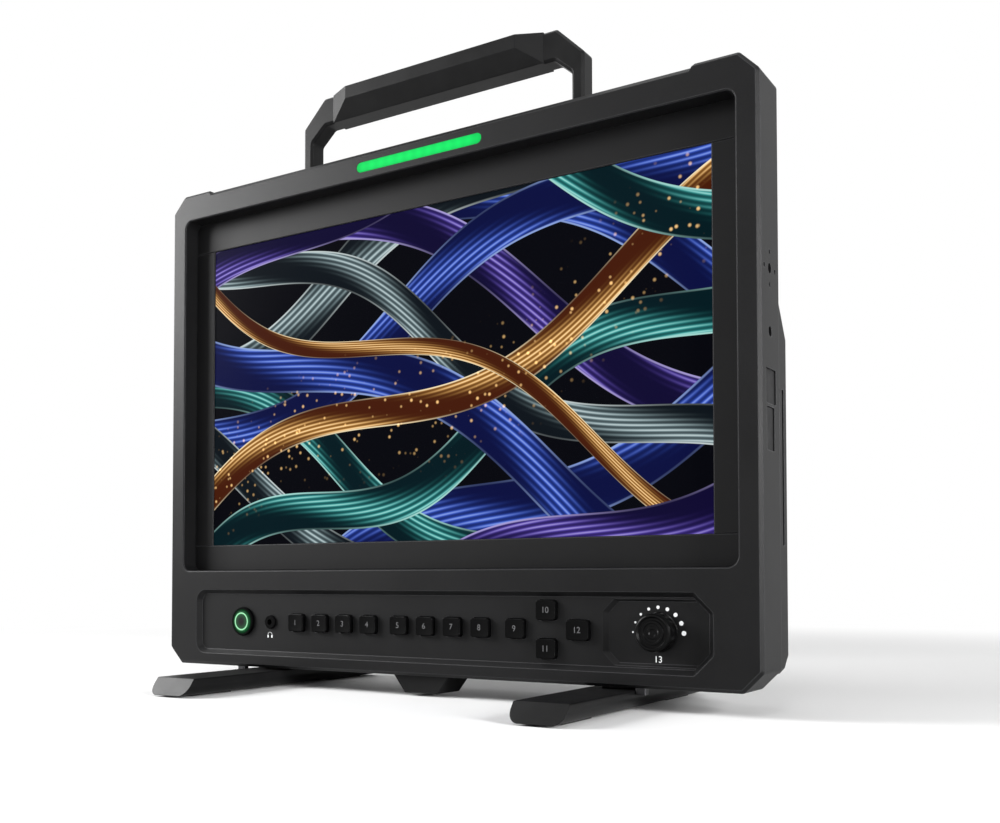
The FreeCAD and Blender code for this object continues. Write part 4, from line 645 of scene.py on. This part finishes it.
def add_socket_screw(bm, place, direction, radius, head, shank, length):
    """Screw with a rounded head and a six sided socket. The direction points out of the head."""
    rounding, rim, half_socket, depth = head * 0.22, radius * 0.3, radius * 0.46, head * 0.6
    turn = Vector((0.0, 0.0, 1.0)).rotation_difference(direction).to_matrix().to_4x4()
    seat = Matrix.Translation(place) @ turn
    made = bmesh.ops.create_cone(bm, cap_ends=True, segments=24, radius1=radius, radius2=radius, depth=head,
                                 matrix=Matrix.Translation((0.0, 0.0, -head / 2)))
    faces = {face for vert in made["verts"] for face in vert.link_faces}
    top = max(faces, key=lambda face: face.calc_center_median().z)
    rounded = bmesh.ops.bevel(bm, geom=list(top.edges), offset=rounding, offset_type="OFFSET",
                              affect="EDGES", segments=3, profile=0.5, material=-1)
    fresh = {face for vert in rounded["verts"] for face in vert.link_faces}
    fresh |= {face for face in faces if face.is_valid}
    top = max(fresh, key=lambda face: (round(face.calc_center_median().z, 7), face.calc_area()))
    bmesh.ops.inset_individual(bm, faces=[top], thickness=rim, use_even_offset=True)
    for vert in top.verts:
        angle = math.atan2(vert.co.y, vert.co.x) % (math.pi / 3) - math.pi / 6
        reach = half_socket / math.cos(angle)
        vert.co.xy = vert.co.xy.normalized() * reach
    bottom = bmesh.ops.extrude_discrete_faces(bm, faces=[top])["faces"]
    bmesh.ops.translate(bm, verts=bottom[0].verts, vec=(0.0, 0.0, -depth))
    stem = bmesh.ops.create_cone(bm, cap_ends=True, segments=16, radius1=shank, radius2=shank, depth=length,
                                 matrix=Matrix.Translation((0.0, 0.0, -head - length / 2)))
    bmesh.ops.transform(bm, matrix=seat, verts=list(joined([bottom[0].verts[0], stem["verts"][0]])))


def loose_parts(node):
    """Boxes of the separate solids in a node, as pairs of corners."""
    bm = bmesh.new()
    bm.from_mesh(NODES[node].data)
    bmesh.ops.remove_doubles(bm, verts=bm.verts, dist=CAD_MERGE)
    left = set(bm.verts)
    boxes = []
    while left:
        part = joined([left.pop()])
        left -= part
        places = [vert.co.copy() for vert in part]
        low = Vector([min(p[i] for p in places) for i in range(3)])
        high = Vector([max(p[i] for p in places) for i in range(3)])
        boxes.append((low, high))
    bm.free()
    return boxes


# Operators, one for each piece or group of like pieces
class Dressing:
    """What the operators share."""

    bl_options = {"REGISTER", "UNDO"}


class MONITOR_OT_casing(Dressing, bpy.types.Operator):
    """Paint the frame, the rear cover and what is fixed to them."""

    bl_idname = "monitor.casing"
    bl_label = "Casing"

    def execute(self, context):
        colours = context.scene.monitor_colours
        casing = textured_paint("casing_paint", tuple(colours.casing))
        paint(casing, "rear_cover")
        self.sink_pad(context.scene.monitor_knob.pad_sink, casing)
        paint(soft_rubber("port_rubber", (0.011, 0.011, 0.0115)), "side_port_covers")
        satin = satin_paint("satin_paint", tuple(colours.handle))
        paint(satin, "handle", "left_foot", "right_foot", "bottom_mount")
        paint(soft_rubber("pad_rubber", (0.02, 0.02, 0.02)), "left_foot_pads", "right_foot_pads")
        paint(moulded_plastic("washer_plastic", (0.012, 0.012, 0.012)), "foot_washers")
        steel = plated_metal("black_steel", (0.045, 0.045, 0.047), 0.38)
        paint(steel, "foot_stops", "handle_screws", "inner_screws")
        return {"FINISHED"}

    def sink_pad(self, depth, casing):
        """Frame whose pad round the knob is sunk below the floor of the control pocket."""
        bm = bmesh.new()
        bm.from_mesh(NODES["front_frame"].data)
        bmesh.ops.remove_doubles(bm, verts=bm.verts, dist=CAD_MERGE)
        level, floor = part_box("encoder_nut")[1].y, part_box("headphone_nut")[1].y
        low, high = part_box("menu_knob")
        reach = high.x - low.x
        slack = 0.01
        for vert in bm.verts:
            x, y, z = vert.co
            beside = low.x - reach < x < high.x + reach and low.z - reach < z < high.z + reach
            share = (floor - y) / (floor - level)
            # Left of the knob, a point half way up the pad's wall moves by its share.
            # Right of it, points between the levels lie on the pocket's wall and stay.
            least = 1.0 - slack if x > low.x else slack
            if beside and least < share < 1.0 + slack:
                bmesh.ops.translate(bm, verts=[vert], vec=(0.0, depth * share, 0.0))
        for side in bm.faces:
            side.smooth = False
        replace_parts(as_piece("sunk_pad_frame", bm, casing, "monitor"), "front_frame")


class MONITOR_OT_screen(Dressing, bpy.types.Operator):
    """Light the picture and finish the strips round it."""

    bl_idname = "monitor.screen"
    bl_label = "Screen"

    def execute(self, context):
        colours = context.scene.monitor_colours
        paint(screen_picture("screen_picture"), "screen_glass")
        trim = textured_paint("trim_paint", tuple(colours.trim), 0.28 * MM, 0.03 * MM, 0.52)
        paint(trim, "top_trim", "bottom_trim", "left_trim", "right_trim")
        return {"FINISHED"}


class MONITOR_OT_tally(Dressing, bpy.types.Operator):
    """Light the tally bar."""

    bl_idname = "monitor.tally"
    bl_label = "Tally light"

    def execute(self, context):
        paint(tally_light("tally_light", tuple(context.scene.monitor_colours.tally)), "tally_lens")
        return {"FINISHED"}


class MONITOR_OT_keys(Dressing, bpy.types.Operator):
    """Finish the keys and print their numbers."""

    bl_idname = "monitor.keys"
    bl_label = "Keys"

    def execute(self, context):
        colours = context.scene.monitor_colours
        marks = context.scene.monitor_marks
        ink = printed_ink("key_ink", tuple(colours.key_print))
        for number in range(1, KEY_COUNT + 1):
            key = f"key_{number}"
            centre = middle(key)
            paint(dished_key(f"{key}_plastic", tuple(colours.key), centre), key)
            seat = facing_front(centre.x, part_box(key)[0].y, centre.z)
            bm = number_mesh(str(number), marks.number_height, marks.print_thick, seat)
            finished(f"{key}_number", bm, ink, key)
        return {"FINISHED"}


class MONITOR_OT_power_button(Dressing, bpy.types.Operator):
    """Finish the power button and light its ring."""

    bl_idname = "monitor.power_button"
    bl_label = "Power button"

    def execute(self, context):
        colours = context.scene.monitor_colours
        centre = middle("power_light_ring")
        low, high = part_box("power_light_ring")
        ring = (high.x - low.x) / 2
        glow = tuple(colours.power_glow)
        body = glowing_cap("power_ring_metal", (0.001, 0.001, 0.0011), glow, centre, ring,
                           reach=2.6 * MM, shine=0.02)
        cap = glowing_cap("power_cap_metal", (0.006, 0.006, 0.0064), glow, centre, ring,
                          reach=4.6 * MM, shine=0.1)
        paint(body, "power_button_body")
        paint(cap, "power_button_cap")
        paint(lit_ring("power_light", tuple(colours.power)), "power_light_ring")
        return {"FINISHED"}


class MONITOR_OT_headphone_socket(Dressing, bpy.types.Operator):
    """Finish the headphone socket and print its sign."""

    bl_idname = "monitor.headphone_socket"
    bl_label = "Headphone socket"

    def execute(self, context):
        colours = context.scene.monitor_colours
        plastic = moulded_plastic("socket_plastic", tuple(colours.fittings), 0.4, 0.03)
        paint(plastic, "headphone_jack", "headphone_nut")
        ink = printed_ink("sign_ink", tuple(colours.print_white))
        sign = self.sign(context.scene.monitor_marks)
        finished("headphone_sign", sign, ink, "monitor")
        return {"FINISHED"}

    def sign(self, marks):
        """Two ear pads under a thin arc, printed below the socket."""
        half, line, pad_width, pad_height = 1.6 * MM, 0.22 * MM, 1.0 * MM, 1.7 * MM
        centre, panel = middle("headphone_nut"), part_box("headphone_nut")[1].y
        x, z = centre.x - marks.sign_shift, centre.z - marks.sign_drop
        bm = bmesh.new()
        start = bm.verts.new((x + half + line, panel, z))
        end = bm.verts.new((x + half, panel, z))
        edge = bm.edges.new((start, end))
        bmesh.ops.spin(bm, geom=[start, end, edge], cent=(x, panel, z), axis=(0.0, -1.0, 0.0),
                       angle=math.pi, steps=18)
        thicken(bm, list(bm.faces), marks.print_thick)
        for side in (-1, 1):
            add_bar(bm, x + side * half, panel, z - pad_height / 2, pad_width, pad_height,
                    marks.print_thick)
        return bm


class MONITOR_OT_menu_knob(Dressing, bpy.types.Operator):
    """Turn the knurled knob and print the dots round it."""

    bl_idname = "monitor.menu_knob"
    bl_label = "Menu knob"

    def execute(self, context):
        colours = context.scene.monitor_colours
        marks = context.scene.monitor_marks
        shape = context.scene.monitor_knob
        centre = middle("menu_knob")
        self.turn_knob(shape, centre, turned_metal("knob_metal", tuple(colours.fittings), centre))
        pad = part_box("encoder_nut")[1].y + shape.pad_sink
        self.print_marks(marks, centre, pad, printed_ink("dot_ink", tuple(colours.print_white)))
        return {"FINISHED"}

    def turn_knob(self, shape, centre, metal):
        """Knob with rings on its face, a knurled side and a hollow for the nut.

        Its outline is drawn in millimetres out from the axis and back from the face.
        """
        low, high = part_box("menu_knob")
        length = (high.y - low.y + shape.pad_sink) / MM
        outer = (high.x - low.x) / 2 / MM
        front = outer - shape.taper / MM
        knurl_start, knurl_end, slack = 1.6, length - 1.3, 0.02
        face = [(0.0, 1.1), (1.5, 1.1), (1.9, 0.65), (2.9, 0.65), (3.25, 1.0), (4.6, 1.0), (4.9, 0.5),
                (5.9, 0.5), (6.25, 0.95), (7.3, 0.95), (7.8, 0.2), (8.0, 0.0), (8.5, 0.0), (8.8, 0.15)]
        rim = [(front - 0.25, 0.75), (front - 0.05, 1.05), (front, 1.3)]
        side = [(front, knurl_start), (outer, knurl_end), (outer, length - 1.0)]
        back = [(outer - 0.3, length - 0.7), (outer - 0.3, length), (6.6, length)]
        hollow = [(6.6, 3.9), (3.1, 3.9), (3.1, 1.4), (0.0, 1.4)]
        bm = bmesh.new()
        outline = [(out * MM, low.y + behind * MM) for out, behind in face + rim + side + back + hollow]
        lathe(bm, outline, centre, 2 * shape.teeth)
        step = math.pi / shape.teeth
        start, end = low.y + (knurl_start - slack) * MM, low.y + (knurl_end + slack) * MM
        for vert in bm.verts:
            arm = Vector((vert.co.x - centre.x, vert.co.z - centre.z))
            if start < vert.co.y < end and arm.length > (front - slack) * MM:
                if round(math.atan2(arm.y, arm.x) / step) % 2:
                    arm = arm.normalized() * (arm.length - shape.tooth_depth)
                    vert.co.x = centre.x + arm.x
                    vert.co.z = centre.z + arm.y
        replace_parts(finished("turned_menu_knob", bm, metal, "menu_dial"), "menu_knob")

    def print_marks(self, marks, centre, pad, ink):
        """Half ring of dots that grow clockwise, and the knob's number under it."""
        x, z = centre.x - marks.dot_shift, centre.z - marks.dot_drop
        bm = bmesh.new()
        for i in range(marks.dots):
            share = i / (marks.dots - 1)
            angle = math.pi - marks.dot_lift - share * (math.pi - 2 * marks.dot_lift)
            size = marks.first_dot + (marks.last_dot - marks.first_dot) * share
            across, up = marks.dot_ring * math.cos(angle), marks.dot_ring * math.sin(angle)
            add_disc(bm, x + across, pad, z + up, size, marks.print_thick)
        finished("knob_dots", bm, ink, "monitor")
        seat = facing_front(x, pad, centre.z - marks.number_drop)
        bm = number_mesh(str(KEY_COUNT + 1), marks.number_height, marks.print_thick, seat)
        finished("knob_number", bm, ink, "monitor")


class MONITOR_OT_screws(Dressing, bpy.types.Operator):
    """Model the screws that show."""

    bl_idname = "monitor.screws"
    bl_label = "Screws"

    def execute(self, context):
        steel = plated_metal("screw_steel", (0.06, 0.06, 0.062), 0.34)
        self.model("socket_cover_screws", "cover_screws", Vector((0, 1, 0)), steel)
        self.model("socket_mount_screws", "bottom_mount_screws", Vector((0, 0, -1)), steel)
        paint(steel, "foot_pivot_screws")
        return {"FINISHED"}

    def model(self, name, node, direction, steel):
        """Socket screws in the places of a node's plain ones."""
        head, shank = 1.5 * MM, 1.5 * MM
        bm = bmesh.new()
        for low, high in loose_parts(node):
            centre = (low + high) / 2
            spread = high - low
            along = abs(spread.dot(direction))
            radius = min(spread) / 2
            place = centre + direction * along / 2
            add_socket_screw(bm, place, direction, radius, head, shank, along - head)
        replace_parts(finished(name, bm, steel, "monitor"), node)


class MONITOR_OT_sockets(Dressing, bpy.types.Operator):
    """Finish the sockets in the back."""

    bl_idname = "monitor.sockets"
    bl_label = "Sockets"

    def execute(self, context):
        nickel = plated_metal("nickel_plate", tuple(context.scene.monitor_colours.nickel), 0.24)
        paint(nickel, "coax_sockets", "power_button_nut", "encoder_nut")
        shell = plated_metal("socket_shell", (0.50, 0.50, 0.51), 0.3)
        paint(shell, "video_sockets", "encoder_shaft", "encoder_body")
        paint(moulded_plastic("inlet_plastic", (0.010, 0.010, 0.011), 0.45), "dc_inlet", "encoder_plunger")
        paint(plated_metal("contact_gold", (0.72, 0.50, 0.20), 0.22), "dc_inlet_pins", "board_standoffs")
        self.print_numbers(context.scene.monitor_marks, tuple(context.scene.monitor_colours.print_white))
        return {"FINISHED"}

    def print_numbers(self, marks, white):
        """Plain numbers on the cover above the sockets, counted from the right as seen from the back."""
        ink = printed_ink("socket_ink", white)
        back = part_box("rear_cover")[1].y
        least_width = 8 * MM
        boxes = [box for node in ("coax_sockets", "video_sockets") for box in loose_parts(node)]
        centres = [(low + high) / 2 for low, high in boxes if (high - low).x > least_width]
        for number, centre in enumerate(sorted(centres, key=lambda place: place.x), 1):
            seat = facing_back(centre.x, back, centre.z + marks.socket_rise)
            bm = number_mesh(str(number), marks.number_height, marks.print_thick, seat)
            finished(f"socket_{number}_number", bm, ink, "monitor")


class MONITOR_OT_inside(Dressing, bpy.types.Operator):
    """Finish the pieces inside the casing."""

    bl_idname = "monitor.inside"
    bl_label = "Inside"

    def execute(self, context):
        paint(circuit_board("solder_mask"), "main_board", "io_board", "key_board", "tally_board")
        paint(plated_metal("zinc_sheet", (0.52, 0.53, 0.55), 0.4, (0.05, 1.0, 1.0)), "panel_bracket")
        paint(plated_metal("plain_aluminium", (0.62, 0.63, 0.64), 0.35, (1.0, 1.0, 0.05)), "heatsink")
        paint(soft_rubber("grey_silicone", (0.24, 0.24, 0.25)), "key_mat")
        paint(moulded_plastic("white_tray", (0.66, 0.67, 0.68)), "backlight_tray")
        paint(moulded_plastic("dark_cell", (0.01, 0.01, 0.014), 0.15), "lcd_panel")
        return {"FINISHED"}


class MONITOR_OT_stage(Dressing, bpy.types.Operator):
    """Set up the floor, the lamps and the camera."""

    bl_idname = "monitor.stage"
    bl_label = "Stage"

    def execute(self, context):
        studio = context.scene.monitor_studio
        self.floor(context)
        self.lamp("key_lamp", (-1.05, -0.5, 0.62), (0.0, 0.0, 0.18), (0.55, 0.55), studio.key_power)
        self.lamp("top_lamp", (-0.15, -0.1, 1.4), (0.0, 0.05, 0.2), (1.2, 1.2), studio.top_power)
        self.lamp("edge_lamp", (1.15, -0.33, 0.35), (0.1, 0.0, 0.2), (0.25, 0.5), studio.edge_power)
        self.lamp("front_lamp", (0.45, -1.1, 0.92), (0.1, 0.0, 0.34), (0.4, 0.4), studio.front_power)
        context.scene.world = context.scene.world or bpy.data.worlds.new("studio")
        sky = Sky(context.scene.world)
        sky.set("Color", (1.0, 1.0, 1.0))
        sky.set("Strength", seen_rays(sky) * (1.0 - studio.world) + studio.world)
        context.scene.view_settings.view_transform = "Standard"
        self.camera(context, studio)
        return {"FINISHED"}

    def floor(self, context):
        """Pale floor that bends up into a backdrop, white to the camera far from the object."""
        bm = bmesh.new()
        start, bend, rise, half, round_off = -5.0, 1.6, 4.0, 8.0, 0.8
        turns = [math.radians(angle) for angle in range(0, 91, 10)]
        run = [(start, 0.0)]
        run += [(bend + round_off * math.sin(a), round_off * (1 - math.cos(a))) for a in turns]
        run.append((bend + round_off, rise))
        verts = [bm.verts.new((-half, y, z)) for y, z in run]
        edges = [bm.edges.new(pair) for pair in zip(verts, verts[1:])]
        grown = bmesh.ops.extrude_edge_only(bm, edges=edges)["geom"]
        far_verts = [part for part in grown if isinstance(part, bmesh.types.BMVert)]
        bmesh.ops.translate(bm, verts=far_verts, vec=(2 * half, 0.0, 0.0))
        mesh = bpy.data.meshes.new("studio_floor")
        bm.to_mesh(mesh)
        bm.free()
        floor = bpy.data.objects.new("studio_floor", mesh)
        context.scene.collection.objects.link(floor)
        mesh.materials.append(self.floor_finish())

    def floor_finish(self):
        """Pale matt sheet that turns white away from the object."""
        finish = Finish("pale_floor", Base_Color=(0.80, 0.80, 0.80), Roughness=0.55, Specular_IOR_Level=0.2)
        object_depth, near, far = 0.05, 0.35, 1.0
        x, y, z = finish.axes()
        behind = y - object_depth
        reach = (x * x + behind * behind + z * z).root()
        glow = finish.node("ShaderNodeEmission", values={"Color": (1.0, 1.0, 1.0), "Strength": 1.0})
        white = seen_rays(finish) * reach.step(near, far)
        mixed = finish.node("ShaderNodeMixShader", values={0: white, 1: finish.shader.outputs[0],
                                                           2: glow.outputs[0]})
        output = finish.tree.nodes["Material Output"]
        finish.tree.links.new(mixed.outputs[0], output.inputs["Surface"])
        return finish.material

    def lamp(self, name, place, target, size, power):
        """Soft lamp of the given width and height that points at a target, unseen by the camera."""
        light = bpy.data.lights.new(name, "AREA")
        light.shape = "RECTANGLE"
        light.size, light.size_y = size
        light.energy = power
        lamp = bpy.data.objects.new(name, light)
        lamp.location = place
        lamp.visible_camera = False
        lamp.rotation_euler = (Vector(target) - Vector(place)).to_track_quat("-Z", "Y").to_euler()
        bpy.context.scene.collection.objects.link(lamp)

    def camera(self, context, studio):
        """Camera at the photograph's viewing angle."""
        data = bpy.data.cameras.new("camera")
        data.sensor_fit = "HORIZONTAL"
        data.sensor_width = 36.0
        data.lens = studio.lens
        data.shift_y = studio.shift
        data.clip_start = 0.01
        yaw, pitch, roll = studio.camera_turn
        camera = bpy.data.objects.new("camera", data)
        turn = Matrix.Rotation(yaw, 4, "Z") @ Matrix.Rotation(math.pi / 2 + pitch, 4, "X")
        camera.matrix_world = Matrix.Translation(studio.camera_place) @ turn @ Matrix.Rotation(roll, 4, "Z")
        context.scene.collection.objects.link(camera)
        context.scene.camera = camera


OPERATORS = (MONITOR_OT_casing, MONITOR_OT_screen, MONITOR_OT_tally, MONITOR_OT_keys,
             MONITOR_OT_power_button, MONITOR_OT_headphone_socket, MONITOR_OT_menu_knob,
             MONITOR_OT_screws, MONITOR_OT_sockets, MONITOR_OT_inside, MONITOR_OT_stage)


class MONITOR_PT_dressing(bpy.types.Panel):
    """Lists the operators in order."""

    bl_label = "Production Monitor"
    bl_space_type = "VIEW_3D"
    bl_region_type = "UI"
    bl_category = "Monitor"

    def draw(self, context):
        for operator in OPERATORS:
            self.layout.operator(operator.bl_idname)


GROUPS = {"monitor_colours": MonitorColours, "monitor_marks": MonitorMarks, "monitor_knob": MonitorKnob,
          "monitor_studio": MonitorStudio}


def register():
    """Registers the classes and hangs the settings on the scene."""
    for cls in (*GROUPS.values(), *OPERATORS, MONITOR_PT_dressing):
        bpy.utils.register_class(cls)
    for name, group in GROUPS.items():
        setattr(bpy.types.Scene, name, PointerProperty(type=group))


def unregister():
    """Takes the settings and the classes away again."""
    for name in GROUPS:
        delattr(bpy.types.Scene, name)
    for cls in (MONITOR_PT_dressing, *reversed(OPERATORS), *GROUPS.values()):
        bpy.utils.unregister_class(cls)


def main():
    """Dresses the monitor."""
    for leftover in ("Cube", "Light", "Camera"):
        if leftover in bpy.data.objects:
            bpy.data.objects.remove(bpy.data.objects[leftover])
    register()
    bpy.ops.monitor.casing()
    bpy.ops.monitor.screen()
    bpy.ops.monitor.tally()
    bpy.ops.monitor.keys()
    bpy.ops.monitor.power_button()
    bpy.ops.monitor.headphone_socket()
    bpy.ops.monitor.menu_knob()
    bpy.ops.monitor.screws()
    bpy.ops.monitor.sockets()
    bpy.ops.monitor.inside()
    bpy.ops.monitor.stage()


if __name__ == "__main__":
    main()
